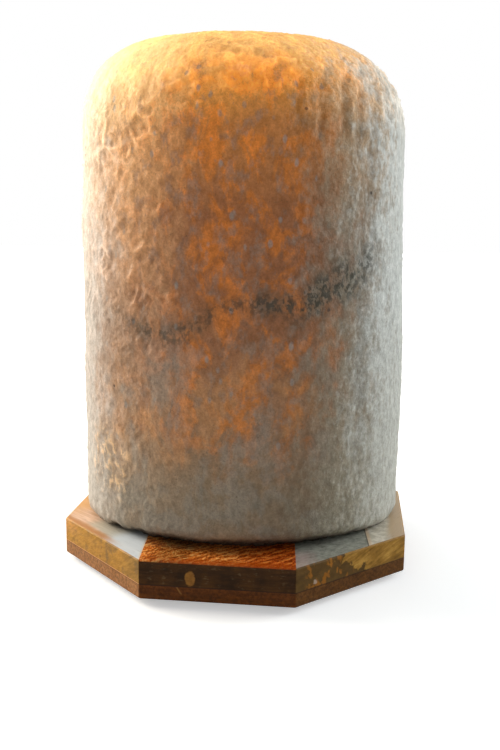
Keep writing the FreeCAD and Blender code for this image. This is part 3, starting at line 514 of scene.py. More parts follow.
# Colours up the block, 0 at its foot to 1 on top. Partly painted light and shade: the bright stops near
# the top are the bulb's glow painted into the colour, the front's dark ones hold painted shade, and the
# warm, left and right zones are paler with painted light from the side lamps.
FRONT_SALT = [
    (0.0, (0.27, 0.205, 0.133)),
    (0.14, (0.26, 0.185, 0.112)),
    (0.27, (0.31, 0.178, 0.095)),
    (0.46, (0.285, 0.125, 0.054)),
    (0.64, (0.3, 0.125, 0.05)),
    (0.8, (0.44, 0.19, 0.055)),
    (0.88, (0.82, 0.37, 0.08)),
    (0.96, (0.98, 0.58, 0.19)),
]
WARM_SALT = [
    (0.0, (0.27, 0.215, 0.15)),
    (0.15, (0.36, 0.25, 0.155)),
    (0.25, (0.37, 0.228, 0.125)),
    (0.4, (0.32, 0.19, 0.105)),
    (0.52, (0.46, 0.25, 0.12)),
    (0.66, (0.62, 0.33, 0.145)),
    (0.8, (0.74, 0.41, 0.175)),
    (0.92, (0.98, 0.71, 0.32)),
]
LEFT_SALT = [
    (0.0, (0.5, 0.45, 0.385)),
    (0.3, (0.5, 0.45, 0.395)),
    (0.6, (0.63, 0.56, 0.48)),
    (0.78, (0.78, 0.69, 0.55)),
    (0.93, (0.98, 0.86, 0.55)),
]
OLIVE_SALT = [
    (0.0, (0.24, 0.21, 0.146)),
    (0.4, (0.205, 0.172, 0.118)),
    (0.6, (0.215, 0.18, 0.128)),
    (0.8, (0.31, 0.22, 0.12)),
    (0.93, (0.82, 0.54, 0.29)),
]
RIGHT_SALT = [
    (0.0, (0.38, 0.365, 0.305)),
    (0.5, (0.43, 0.435, 0.4)),
    (0.8, (0.46, 0.46, 0.42)),
    (0.93, (0.72, 0.62, 0.5)),
]
GLOW = [
    (0.1, (0.0, 0.0, 0.0)),
    (0.26, (0.045, 0.012, 0.002)),
    (0.5, (0.05, 0.011, 0.002)),
    (0.66, (0.065, 0.015, 0.002)),
    (0.81, (0.15, 0.04, 0.005)),
    (0.89, (0.37, 0.112, 0.012)),
    (0.96, (0.56, 0.245, 0.06)),
]
AMBER = (0.64, 0.19, 0.012)
VEIL_GREY = (0.23, 0.19, 0.15)
PIT_GREY = (0.33, 0.31, 0.28)
VEIN_DARK = (0.04, 0.038, 0.026)
VEIN_MURKY = (0.1, 0.088, 0.06)
SPECK_DARK = (0.04, 0.032, 0.026)
CLOUD_GREY = (0.275, 0.25, 0.2)
CLOUD_TAN = (0.56, 0.28, 0.11)
BROKEN_HIGHLIGHT = (0.95, 0.6, 0.3)
FLAKE_PALE = (0.62, 0.6, 0.55)
UNDERSIDE_SHADE = (0.05, 0.035, 0.022)

# the vein from the block's left side, 0, to its right, 1: height and half its width in metres,
# and its strength
VEIN_HEIGHT = [(0.09, 0.1005), (0.2, 0.0965), (0.33, 0.093), (0.39, 0.0955)]
VEIN_HEIGHT += [(0.5, 0.102), (0.65, 0.1065), (0.77, 0.111), (0.88, 0.119)]
VEIN_HALF = [(0.0, 0.007), (0.5, 0.0055), (0.72, 0.009), (0.9, 0.011)]
VEIN_STRENGTH = [(0.03, 0.12), (0.2, 0.36), (0.33, 0.6), (0.54, 0.6)]
VEIN_STRENGTH += [(0.66, 0.85), (0.8, 1.0), (0.88, 0.7), (0.94, 0.0)]

# noise scales, in cells a metre
DRIFT, CLOUD, PATCHES, BLOTCH, PITS = 34, 62, 110, 190, 250
MOTTLE, FIBRES, VEIN_GRAINS, CRUMBS, SPECKLE = 430, 620, 640, 780, 1500


def salt_fields(g):
    """The noises and zones, most of them from 0 to 1, that colour, glow and relief are made of."""
    s = SimpleNamespace(here=g.place())
    s.x, s.y, s.z = g.axes(s.here)
    s.relief = g.node("Attribute", attribute_name="relief").outputs["Fac"]
    s.fibres = g.noise(g.place((1, 1, 0.75), turn=(0.04, 0.05, 0)), FIBRES, 3, 0.6)
    s.drift = g.math("SUBTRACT", g.noise(g.place((1, 1, 0.5)), DRIFT, 4, 0.62), 0.5)
    s.mottle = g.noise(g.place((1, 1, 0.7), shift=(0.2, 0.5, 0.1)), MOTTLE, 3, 0.62)
    s.blotch = g.noise(g.place((1, 1, 0.62), shift=(0.4, 0.2, 0.6)), BLOTCH, 4, 0.62)

    # places on the block: 0 at its foot to 1 on top, and -1 at its left to 1 at its right
    rise = g.math("DIVIDE", g.math("SUBTRACT", s.z, SALT_FLOOR), SALT_TOP - SALT_FLOOR)
    s.rise = g.plus(rise, g.times(s.drift, 0.1))
    across = g.plus(g.math("DIVIDE", s.x, HALF_WIDE), g.times(s.drift, 0.36))
    s.across = g.plus(across, g.swing(s.blotch, 0.55))
    # the warm and left zones are partly painted light from the left lamp, the right zone from the right
    # lamp
    s.warm = g.steps(s.across, -0.12, -0.55)
    s.left = g.steps(s.across, -0.5, -0.95)
    s.olive = g.steps(g.plus(s.across, g.swing(s.mottle, 0.3)), 0.3, 0.74)
    s.crown = g.steps(s.rise, 0.84, 0.93)
    to_right = g.plus(s.across, g.swing(s.fibres, 0.3), g.times(s.crown, 0.12))
    s.right = g.steps(to_right, 0.62, 0.95)
    s.bright_corner = g.times(g.steps(s.across, -0.05, -0.35), g.steps(s.rise, 0.84, 0.91))
    # the back's left part is duller, because the left lamp lights it from close by
    s.round_back = g.times(g.steps(s.y, -0.018, 0.012), g.steps(s.x, -0.01, -0.04))
    s.lit = g.times(g.less(s.left, 1.0), g.less(s.olive, 0.7), g.steps(s.rise, 0.12, 0.27))
    s.lit = g.times(s.lit, g.steps(s.rise, 0.98, 0.88))
    shade = g.times(g.steps(s.across, 0.05, 0.5, 0.0, -0.3), g.steps(s.rise, 0.93, 0.84))
    s.dim = g.plus(1.0, shade)

    # clear amber, a grey veil over it, and small pits
    patches = g.noise(g.place((1, 1, 0.65), shift=(0.3, 0.1, 0.2)), PATCHES, 6, 0.66, 0.5)
    s.clear = g.times(g.steps(patches, 0.46, 0.59), g.steps(s.mottle, 0.3, 0.6, 0.8, 1.0))
    s.veil = g.times(g.steps(s.blotch, 0.5, 0.64), g.steps(s.mottle, 0.36, 0.56, 0.55, 1.0))
    distance, pick = g.cells(g.place((1, 1, 0.6)), PITS)
    pit = g.steps(g.plus(distance, g.swing(s.mottle, 0.3)), 0.27, 0.12)
    s.pit = g.times(pit, g.steps(pick, 0.6, 0.7))
    return s


def salt_body(g, s):
    """Amber patches under a thin grey crust in the middle; the paler sides and bright top partly
    painted light.
    """
    body = g.ramp(s.rise, FRONT_SALT)
    body = g.mix(g.times(s.clear, s.lit, 0.6), body, AMBER)
    # the warm zone left of the middle: its own colour, made paler with painted light from the left lamp
    body = g.mix(s.warm, body, g.ramp(s.rise, WARM_SALT))
    cloud = g.noise(g.place((1, 1, 0.75), shift=(0.9, 0.4, 0.3)), CLOUD, 5, 0.62, 0.3)
    low_part = g.steps(s.rise, 0.55, 0.3)
    body = g.mix(g.times(g.steps(cloud, 0.52, 0.4), low_part, 0.6), body, CLOUD_GREY)
    tan = g.times(g.steps(cloud, 0.54, 0.64), low_part, g.steps(s.rise, 0.08, 0.22), 0.45)
    body = g.shade_by(g.mix(tan, body, CLOUD_TAN), s.dim)
    body = g.mix(g.times(s.veil, s.lit, g.less(s.warm, 0.4), 0.55), body, VEIL_GREY)
    body = g.mix(g.times(s.pit, s.lit, 0.6), body, PIT_GREY)
    # the left and right zones: colours of their own, partly painted light from the side lamps
    for side, stops in ((s.left, LEFT_SALT), (s.olive, OLIVE_SALT), (s.right, RIGHT_SALT)):
        body = g.mix(side, body, g.ramp(s.rise, stops))
    return body


def salt_tone(g, s):
    """Light and dark of the crust: a painted highlight on the ridges, painted shade in the hollows,
    short fibres and fine grains.
    """
    # painted highlight on raised relief, painted shade where it sinks
    ridges = g.steps(s.relief, 0.08, 0.6, 0.0, 0.3)
    hollows = g.steps(s.relief, 0.0, -0.7, 0.0, -0.16)
    speckle = g.noise(s.here, SPECKLE, 2, 0.6)
    tone = g.times(g.plus(0.93, ridges, hollows), g.spread(s.fibres, 0.93, 1.07))
    tone = g.times(tone, g.spread(speckle, 0.9, 1.1))
    mottle = g.times(g.spread(s.mottle, -0.14, 0.12), g.less(s.crown, 0.6))
    tone = g.times(tone, g.plus(1.0, mottle))
    return g.plus(g.times(tone, g.less(s.bright_corner, 0.6)), g.times(s.bright_corner, 0.63))


def salt_vein(g, s):
    """Dark vein: a warped sheet through the block that rises to the right, broken into blotches."""
    spread = g.plus(g.times(g.math("DIVIDE", s.x, HALF_WIDE), 0.5), 0.5)
    sheet = g.plus(g.ramp(spread, VEIN_HEIGHT), g.times(s.drift, 0.022))
    off = g.math("ABSOLUTE", g.math("SUBTRACT", s.z, sheet))
    band = g.steps(g.math("DIVIDE", off, g.ramp(spread, VEIN_HALF)), 1.1, 0.1)
    gaps = g.steps(spread, 0.5, 0.7, 0.2, 0.4)
    return g.times(band, g.ramp(spread, VEIN_STRENGTH), g.steps(s.blotch, 0.38, 0.54, gaps, 1.0))


def salt_specks(g, s):
    """A few specks of clay, and finer ones between them."""
    distance, pick = g.cells(s.here, 75)
    speck = g.times(g.steps(distance, 0.06, 0.03), g.steps(pick, 0.62, 0.66))
    fine = g.steps(g.noise(g.place(shift=(0.5, 0.1, 0.4)), 900, 2, 0.5), 0.66, 0.74)
    return g.math("MAXIMUM", g.times(speck, 0.85), g.times(fine, g.less(s.crown, 0.7), 0.35))


def salt_glow(g, s, tone, vein):
    """What the lit bore sends out through the salt, least through its sides and its vein."""
    glow = g.ramp(g.plus(s.rise, g.times(s.bright_corner, 0.04)), GLOW)
    glow = g.shade_by(glow, g.less(s.round_back, 0.5))
    sides = g.times(g.less(s.right, 1.0), g.less(s.olive, 0.6), g.less(s.left, 0.35))
    glow = g.shade_by(glow, g.times(sides, g.less(vein, 0.9)))
    crust = g.times(s.dim, g.plus(0.75, g.times(s.clear, 0.75)), g.less(s.veil, 0.25))
    return g.shade_by(glow, g.times(crust, g.less(s.pit, 0.6), tone))


def salt_material():
    g = Graph("salt")
    s = salt_fields(g)
    tone = salt_tone(g, s)
    colour = g.shade_by(salt_body(g, s), tone)
    flake = g.times(g.steps(s.fibres, 0.56, 0.66), g.plus(s.olive, g.times(s.left, 0.5)))
    colour = g.mix(g.times(flake, 0.08), colour, FLAKE_PALE)
    # painted golden highlight on the raised crystals of the broken patch at the lower left
    broken = g.distance(s.here, tuple(part * MM for part in BROKEN_AT))
    broken = g.steps(broken, BROKEN_REACH * MM, BROKEN_REACH * 0.4 * MM)
    broken = g.times(broken, g.steps(s.relief, -0.1, 0.3))
    colour = g.mix(g.times(broken, g.steps(s.mottle, 0.4, 0.6), 0.6), colour, BROKEN_HIGHLIGHT)

    vein = salt_vein(g, s)
    grains = g.noise(g.place((1, 1, 0.8), shift=(0.7, 0.3, 0.9)), VEIN_GRAINS, 3, 0.6)
    grains = g.times(vein, g.steps(grains, 0.42, 0.56), 1.1)
    colour = g.mix(g.times(vein, 0.45), colour, VEIN_MURKY)
    colour = g.mix(g.math("MINIMUM", grains, 0.92), colour, VEIN_DARK)
    colour = g.mix(salt_specks(g, s), colour, SPECK_DARK)
    colour = g.shade_by(colour, g.less(s.round_back, 0.38))
    # painted shade on the faces near the foot that turn downwards
    _, _, up = g.facing()
    low = g.steps(s.z, SALT_FLOOR + 6.5 * MM, SALT_FLOOR + 4.5 * MM)
    colour = g.mix(g.times(g.steps(up, -0.5, -0.85), low, 0.85), colour, UNDERSIDE_SHADE)

    crumbs = g.noise(g.place(shift=(0.8, 0.8, 0.1)), CRUMBS, 4, 0.68)
    crumbs = g.times(crumbs, g.steps(s.rise, 0.7, 0.92, 0.8, 1.9), g.less(s.bright_corner, 0.6))
    height = g.plus(g.times(s.fibres, 0.3), g.times(s.mottle, 0.7), crumbs)
    strength = g.steps(g.math("ABSOLUTE", s.across), 0.3, 0.8, 0.9, 0.4)
    return g.finish(
        Base_Color=colour,
        Roughness=g.steps(s.mottle, 0.35, 0.7, 0.82, 0.58),
        Normal=g.bump(height, 0.6 * MM, strength),
        Emission_Color=salt_glow(g, s, tone, vein),
        Emission_Strength=1.0,
        Specular_IOR_Level=0.3,
    )


# ---- woods


STREAKS, PORES = 850, 2100  # noise scales, in cells a metre


def wood(g, angle, squeeze=0.07, band=190, rise=0.0):
    """Bands, streaks and pores of a wood whose fibres run at an angle to +X, in degrees."""
    turn = (0, rise, math.radians(-angle))
    along = g.place((squeeze, 1, 1), turn)
    bands = g.noise(along, band, 3, 0.55, 0.25)
    streaks = g.noise(along, STREAKS, 3, 0.65)
    pores = g.noise(g.place((squeeze * 1.5, 1, 1), turn), PORES, 2, 0.5)
    return bands, streaks, g.steps(pores, 0.6, 0.72)


SEAM_TURN = math.radians(5)
SEAM_LEFT, SEAM_RIGHT, SEAM_FAR = -33.2 * MM, 21.7 * MM, 49.0 * MM
SIDE_UP, TOP_UP = 0.86, 0.97  # the upward part of the normal where a side ends and a top begins
KNOT_AT = (-0.0475, -0.0475, 0.0097)  # in the left plank's side
KNOT_OUTSIDE, KNOT_INSIDE = 1.2 * MM, 0.5 * MM
CHIP_AT = (0.0339, -0.0602, 0.0101)  # in the right plank's side
CHIP_OUTSIDE, CHIP_INSIDE = 1.1 * MM, 0.6 * MM
PLUG_X, PLUG_Z = -9.3 * MM, 11.1 * MM  # a wooden plug in the middle plank's side
PLUG_HALF_WIDE, PLUG_HALF_HIGH = 1.75 * MM, 2.7 * MM


def seam_distance(g, x, y, place):
    """Distance across one of the upright seams between the planks, growing to the right."""
    return g.plus(g.times(x, math.cos(SEAM_TURN)), g.times(y, math.sin(SEAM_TURN)), -place)


def seam(g, x, y, place, half_wide):
    """1 along a seam."""
    return g.steps(g.math("ABSOLUTE", seam_distance(g, x, y, place)), half_wide, half_wide * 0.4)


def block_reach(g, x, y):
    """Distance from the block's axis, 1 at its side."""
    y_part = g.math("DIVIDE", g.plus(y, -SALT_MIDDLE_Y), HALF_DEEP)
    flat = g.node("CombineXYZ", {0: g.math("DIVIDE", x, HALF_WIDE), 1: y_part})
    return g.length(flat.outputs[0])


def shade_under_block(g, x, y, up, amount=0.4):
    """Painted shade under the block: how much of the wood's light is left, darker under the block."""
    ragged = g.swing(g.noise(g.place(), 260, 3, 0.6), 0.04)
    inside = g.steps(g.plus(block_reach(g, x, y), ragged), 0.95, 0.9)
    return g.less(g.times(inside, g.steps(up, 0.5, 0.9)), amount)


def pored(g, colour, pores, amount, dark, depth=0.6):
    """A colour with pores that are mixed with a dark colour to some depth."""
    return g.mix(g.times(pores, amount), colour, g.mix(depth, colour, dark))


def glued(g, colour, z, amount, line):
    """A colour with the line of glue between planks and lower board."""
    off = g.math("ABSOLUTE", g.math("SUBTRACT", z, BOARD_HIGH.z))
    return g.mix(g.times(g.steps(off, 0.35 * MM, 0.12 * MM), amount), colour, line)


def varnished(g, colour, streaks, bump_height=None, distance=0.00012, rough=0.32):
    """A wood under a thin uneven coat of varnish."""
    height = g.times(streaks, 0.6) if bump_height is None else bump_height
    waviness = g.noise(g.place(), 130, 2, 0.5)
    return g.finish(
        Base_Color=colour,
        Roughness=g.spread(streaks, rough, rough + 0.2),
        Normal=g.bump(height, distance, 0.8),
        Coat_Weight=0.08,
        Coat_Roughness=0.2,
        Coat_Normal=g.bump(waviness, 0.0006, 0.35),
        Specular_IOR_Level=0.06,
    )


def left_wood():
    """Top: a warm zone with painted light, a pale painted reflection, painted shade and reflection by
    the block, worn zones; ochre side.
    """
    g = Graph("left_wood")
    x, y, z = g.axes(g.place())
    _, _, up = g.facing()
    bands, streaks, pores = wood(g, -40)
    along = g.times(g.math("SUBTRACT", x, y), DIAGONAL)  # from the left corner to the front one
    inward = g.times(g.plus(x, y, 2 * EDGE * DIAGONAL), DIAGONAL)  # from the slanting side inward
    wander = g.math("SUBTRACT", g.noise(g.place((1, 1, 1), (0, 0, 0.5)), 90, 3, 0.6), 0.5)
    wander_far = g.times(wander, 0.02)
    # the warm zone at the back: its own colour with painted light
    warm = g.mix(bands, (0.62, 0.32, 0.11), (0.82, 0.46, 0.19))
    pink = g.mix(g.steps(streaks, 0.35, 0.65), (0.66, 0.41, 0.26), (0.84, 0.58, 0.41))
    # painted reflection: the pale blue-white sheen towards the front corner
    pale = g.mix(bands, (0.54, 0.59, 0.63), (0.8, 0.83, 0.84))
    top = g.mix(g.steps(g.plus(y, wander_far), -0.026, -0.01), pink, warm)
    top = g.mix(g.steps(g.plus(along, wander_far), -0.01, 0.005), top, pale)
    # painted shade and reflection of the block: an olive band close round it
    block_shade_and_reflection = g.steps(g.plus(block_reach(g, x, y), g.times(wander, 0.1)), 1.09, 1.04)
    block_shade_and_reflection = g.times(block_shade_and_reflection, g.steps(along, 0.006, -0.002), g.steps(along, -0.02, -0.012))
    olive = g.mix(streaks, (0.4, 0.39, 0.3), (0.56, 0.53, 0.43))
    top = g.mix(g.times(block_shade_and_reflection, 0.75), top, olive)
    worn = g.steps(g.plus(inward, g.times(wander, 0.004)), 0.0044, 0.0016)
    worn = g.times(worn, g.steps(along, 0.014, -0.002))
    top = g.mix(g.times(worn, 0.85), top, (0.5, 0.21, 0.045))
    top = g.mix(seam(g, x, y, SEAM_LEFT, 0.9 * MM), top, (0.72, 0.66, 0.56))

    side_bands, side_streaks, _ = wood(g, -25, 0.12, 150, 0.5)
    blotch = g.noise(g.place((1, 1, 0.8), (0, 0.6, 0), (0.3, 0, 0)), 150, 4, 0.65)
    side = g.mix(side_bands, (0.3, 0.13, 0.016), (0.52, 0.27, 0.05))
    side = g.mix(g.times(g.steps(blotch, 0.5, 0.62), 0.7), side, (0.2, 0.115, 0.04))
    side = g.mix(g.times(g.steps(along, 0.012, 0.026), 0.45), side, (0.16, 0.1, 0.035))
    ruddy = g.times(g.steps(along, -0.012, -0.024), g.steps(z, 0.01, 0.016), 0.6)
    side = g.mix(ruddy, side, (0.62, 0.3, 0.09))
    side = g.shade_by(side, g.spread(side_streaks, 0.78, 1.2))
    knot = g.steps(g.distance(g.place(), KNOT_AT), KNOT_OUTSIDE, KNOT_INSIDE)
    side = g.mix(g.times(knot, 0.75), side, (0.08, 0.04, 0.015))
    colour = g.mix(g.steps(up, SIDE_UP, TOP_UP), side, top)
    colour = pored(g, colour, pores, 0.3, (0.12, 0.05, 0.02))
    colour = glued(g, colour, z, 0.8, (0.75, 0.36, 0.16))
    # with painted shade under the block
    return varnished(g, g.shade_by(colour, shade_under_block(g, x, y, up)), streaks)


CURLY_RED = [
    (0.0, (0.24, 0.056, 0.006)),
    (0.3, (0.58, 0.14, 0.018)),
    (0.7, (0.86, 0.255, 0.038)),
    (1.0, (0.98, 0.5, 0.15)),
]


def middle_wood():
    """Curly red wood with a raised figure on top, dark on its front face."""
    g = Graph("middle_wood")
    x, y, z = g.axes(g.place())
    _, _, up = g.facing()
    bands, streaks, pores = wood(g, 8)
    curl = g.waves(g.place((0.4, 1, 1), (0, 0, math.radians(-44))), 120, 9.0, 4.0, 3.2)
    lumps = g.noise(g.place((0.6, 1, 1), (0, 0, math.radians(-48))), 560, 4, 0.7)
    fine = g.noise(g.place((1, 0.5, 1)), 1400, 2, 0.6)
    figure = g.plus(g.times(curl, 0.2), g.times(lumps, 0.7), g.times(fine, 0.55))
    level = g.steps(figure, 0.53, 0.93)
    top = g.ramp(level, CURLY_RED)
    redder = g.mix(1.0, top, (0.7, 0.44, 0.26), "MULTIPLY")
    duller = g.mix(1.0, top, (0.52, 0.57, 0.6), "MULTIPLY")
    top = g.mix(g.steps(x, -0.005, 0.018), top, redder)
    top = g.mix(g.times(g.steps(x, -0.006, -0.014), g.steps(x, -0.027, -0.02)), top, duller)
    # painted shade: a dark band close under the block's rim, on the left
    rim_shade = g.steps(g.plus(y, g.swing(lumps, 0.004)), -0.0545, -0.0525)
    rim_shade = g.times(g.steps(x, 0.004, -0.012), rim_shade)
    top = g.mix(g.times(rim_shade, 0.25), top, (0.1, 0.07, 0.04))
    front_edge = g.steps(g.plus(y, g.swing(lumps, 0.003)), -0.0618, -0.064)
    front_edge = g.times(front_edge, g.steps(x, -0.022, -0.008, 0.3, 0.75))
    top = g.mix(front_edge, top, (0.33, 0.05, 0.001))

    side = g.mix(bands, (0.022, 0.008, 0.001), (0.075, 0.029, 0.005))
    side = g.shade_by(side, g.spread(streaks, 0.75, 1.3))
    scuffs = g.steps(g.noise(g.place((0.45, 1, 1)), 900, 3, 0.6), 0.56, 0.7)
    side = g.mix(g.times(scuffs, 0.3), side, (0.15, 0.1, 0.05))
    cloud = g.noise(g.place((1, 1, 0.6), shift=(0.3, 0, 0.2)), 120, 3, 0.6)
    side = g.shade_by(side, g.steps(cloud, 0.35, 0.65, 0.75, 1.3))
    plug_at = g.place((1 / PLUG_HALF_WIDE, 0, 1 / PLUG_HALF_HIGH), shift=(-PLUG_X, 0, -PLUG_Z))
    plug = g.steps(g.plus(g.length(plug_at), g.swing(streaks, 1.0)), 1.15, 0.85)
    plug = g.times(plug, g.steps(y, -0.05, -0.06))
    plug_wood = g.mix(g.noise(g.place(), 500, 3, 0.6), (0.14, 0.05, 0.008), (0.4, 0.18, 0.03))
    side = g.mix(plug, side, plug_wood)
    colour = g.mix(g.steps(up, 0.25, 0.6), side, top)
    colour = pored(g, colour, pores, 0.35, (0.02, 0.008, 0.004), 0.7)
    colour = glued(g, colour, z, 0.7, (0.015, 0.008, 0.005))
    # with painted shade under the block
    colour = g.shade_by(colour, shade_under_block(g, x, y, up, 0.15))
    raised = g.times(g.plus(level, g.times(streaks, 0.1)), g.steps(up, 0.6, 0.85, 0.15, 1.0))
    return varnished(g, colour, streaks, raised, 0.0004, 0.28)


OCHRE_DARK, OCHRE_MIDDLE, OCHRE_LIGHT = (0.12, 0.055, 0.008), (0.27, 0.135, 0.02), (0.46, 0.25, 0.05)


def ochre_side(g):
    lines = g.noise(g.place((0.12, 0.12, 1), (0.0, 0.42, math.radians(-45))), 1100, 3, 0.6)
    tint = g.noise(g.place((1, 1, 1.5), shift=(0.6, 0.1, 0.3)), 170, 3, 0.6)
    level = g.plus(g.times(lines, 0.5), g.times(tint, 0.5))
    return g.ramp(level, [(0.32, OCHRE_DARK), (0.5, OCHRE_MIDDLE), (0.66, OCHRE_LIGHT)])


SPECKLED_GREY = [
    (0.3, (0.13, 0.13, 0.105)),
    (0.45, (0.25, 0.25, 0.205)),
    (0.6, (0.35, 0.345, 0.28)),
    (0.75, (0.46, 0.45, 0.37)),
]


def right_wood():
    """Grey, speckled plank with a brown side that turns to ochre at its far end."""
    g = Graph("right_wood")
    x, y, z = g.axes(g.place())
    _, _, up = g.facing()
    _, streaks, pores = wood(g, 45)
    dashes = g.noise(g.place((0.6, 1, 1), (0, 0, math.radians(-45))), 800, 3, 0.65)
    blotch = g.noise(g.place(shift=(0.1, 0.3, 0)), 160, 3, 0.6)
    top = g.ramp(g.plus(g.times(dashes, 0.75), g.times(blotch, 0.25)), SPECKLED_GREY)
    near_seam = g.plus(seam_distance(g, x, y, SEAM_RIGHT), g.swing(blotch, 0.012))
    near_seam = g.times(g.steps(near_seam, 0.009, 0.003), g.steps(y, -0.046, -0.056), 0.75)
    top = g.mix(near_seam, top, g.mix(dashes, (0.3, 0.2, 0.17), (0.52, 0.4, 0.35)))
    top = g.mix(g.times(seam(g, x, y, SEAM_FAR, 0.7 * MM), 0.7), top, (0.08, 0.05, 0.03))

    along = g.times(g.plus(x, y, 0.0389), DIAGONAL)  # from the front right corner along the side
    brown = g.noise(g.place((1, 1, 2), shift=(0, 0.2, 0)), 190, 3, 0.6)
    side = g.mix(brown, (0.025, 0.014, 0.003), (0.15, 0.078, 0.018))
    streak = g.noise(g.place((1, 1, 0.6), (0, 0.5, 0), (0.2, 0, 0)), 230, 3, 0.55)
    streak = g.times(g.steps(streak, 0.53, 0.6), g.steps(along, 0.003, 0.007))
    streak = g.times(streak, g.steps(along, 0.03, 0.022), 0.75)
    side = g.mix(streak, side, g.mix(blotch, (0.22, 0.07, 0.006), (0.42, 0.16, 0.016)))
    finger = g.plus(along, g.swing(blotch, 0.03), g.times(z, 0.9))
    side = g.mix(g.steps(finger, 0.0375, 0.0395), side, ochre_side(g))
    chip = g.plus(g.distance(g.place(), CHIP_AT), g.swing(dashes, 0.0022))
    chip = g.times(g.steps(chip, CHIP_OUTSIDE, CHIP_INSIDE), 0.8)
    side = g.mix(chip, side, (0.4, 0.29, 0.2))
    colour = g.mix(g.steps(up, SIDE_UP, TOP_UP), side, top)
    colour = pored(g, colour, pores, 0.25, (0.03, 0.02, 0.01))
    colour = glued(g, colour, z, 0.7, (0.02, 0.012, 0.008))
    # with painted shade under the block
    colour = g.shade_by(colour, shade_under_block(g, x, y, up, 0.1))
    return varnished(g, colour, streaks, dashes, 0.00015, 0.34)


def far_wood():
    """Pale, cloudy plank with tan at its outer edge."""
    g = Graph("far_wood")
    x, y, z = g.axes(g.place())
    _, _, up = g.facing()
    bands, streaks, pores = wood(g, 70)
    blotch = g.noise(g.place(shift=(0.5, 0.2, 0)), 240, 4, 0.65)
    top = g.mix(g.steps(blotch, 0.42, 0.6), (0.53, 0.47, 0.36), (0.72, 0.66, 0.54))
    top = g.shade_by(top, g.spread(bands, 0.88, 1.08))
    tan = g.mix(streaks, (0.42, 0.29, 0.17), (0.58, 0.43, 0.27))
    top = g.mix(g.steps(g.plus(x, g.times(bands, 0.004)), 0.061, 0.064), top, tan)
    top = g.mix(g.times(seam(g, x, y, SEAM_FAR, 1.6 * MM), 0.6), top, (0.62, 0.42, 0.24))
    colour = g.mix(g.steps(up, SIDE_UP, TOP_UP), ochre_side(g), top)
    colour = pored(g, colour, pores, 0.3, (0.08, 0.04, 0.015))
    colour = glued(g, colour, z, 0.6, (0.05, 0.025, 0.01))
    # with painted shade under the block
    return varnished(g, g.shade_by(colour, shade_under_block(g, x, y, up)), streaks)


def board_wood():
    """Red-brown lower board with painted light and shade: lighter on the faces to the left, dark at the
    front.
    """
    g = Graph("board_wood")
    x, y, z = g.axes(g.place())
    out_x, _, _ = g.facing()
    bands, streaks, pores = wood(g, 4, 0.06, 170)
    flecks = g.noise(g.place(), 1000, 3, 0.65)
    dark = g.mix(bands, (0.05, 0.012, 0.001), (0.14, 0.042, 0.006))
    light = g.mix(bands, (0.2, 0.08, 0.025), (0.36, 0.17, 0.065))
    brown = g.mix(bands, (0.05, 0.018, 0.003), (0.135, 0.053, 0.011))
    # painted light and shade by facing: the faces to the left lighter, the front dark, the right ones
    # brown
    colour = g.mix(g.steps(out_x, -0.3, -0.68), dark, light)
    colour = g.mix(g.steps(out_x, 0.3, 0.68), colour, brown)
    colour = g.shade_by(colour, g.spread(streaks, 0.78, 1.25))
    colour = g.shade_by(colour, g.steps(flecks, 0.35, 0.65, 0.78, 1.3))
    colour = pored(g, colour, pores, 0.3, (0.02, 0.008, 0.004))
    scratch = g.plus(g.times(x, 3.3), g.times(z, 2.1), 0.0301)  # 0 along a scratch on the front
    scratch = g.times(g.steps(g.math("ABSOLUTE", scratch), 0.0016, 0.0006), g.steps(y, -0.06, -0.066))
    scratch = g.times(scratch, g.steps(z, 0.0048, 0.0056), g.steps(z, 0.0082, 0.0074))
    colour = g.mix(g.times(scratch, 0.6), colour, (0.3, 0.13, 0.03))
    colour = glued(g, colour, z, 0.6, (0.02, 0.01, 0.006))
    return varnished(g, colour, streaks, g.plus(streaks, g.times(flecks, 0.6)))


# ---- small parts


def plain_metal(name, colour, rough, brushed=700):
    g = Graph(name)
    lines = g.noise(g.place((1, 1, 0.12)), brushed, 3, 0.6)
    stain = g.noise(g.place(), 260, 3, 0.6)
    return g.finish(
        Base_Color=g.shade_by(colour, g.spread(stain, 0.82, 1.0)),
        Metallic=1.0,
        Roughness=g.spread(lines, rough, rough + 0.18),
        Normal=g.bump(lines, 0.00004, 0.5),
    )


def moulded(name, colour, rough, grain=1300, depth=0.00004):
    g = Graph(name)
    pebbles = g.noise(g.place(), grain, 2, 0.6)
    shade = g.noise(g.place(), 120, 3, 0.6)
    return g.finish(
        Base_Color=g.shade_by(colour, g.spread(shade, 0.9, 1.04)),
        Roughness=g.spread(pebbles, rough, rough + 0.15),
        Normal=g.bump(pebbles, depth, 0.6),
    )


def clear_glass(name, colour, rough):
    g = Graph(name)
    waves = g.noise(g.place(), 180, 2, 0.5)
    return g.finish(
        Base_Color=g.mix(g.steps(waves, 0.3, 0.7), colour, (0.98, 0.98, 0.97)),
        Roughness=g.spread(waves, rough, rough + 0.05),
        Normal=g.bump(waves, 0.0002, 0.2),
        Transmission_Weight=1.0,
        IOR=1.5,
    )


def hot_filament():
    g = Graph("filament")
    turns = g.waves(g.place((1, 1, 1), (0, 0, math.radians(90))), 900, 0.3)
    return g.finish(
        Base_Color=g.mix(turns, (0.35, 0.2, 0.1), (0.6, 0.4, 0.2)),
        Roughness=0.5,
        Emission_Color=g.mix(turns, (1.0, 0.42, 0.12), (1.0, 0.72, 0.35)),
        Emission_Strength=6.0,
    )


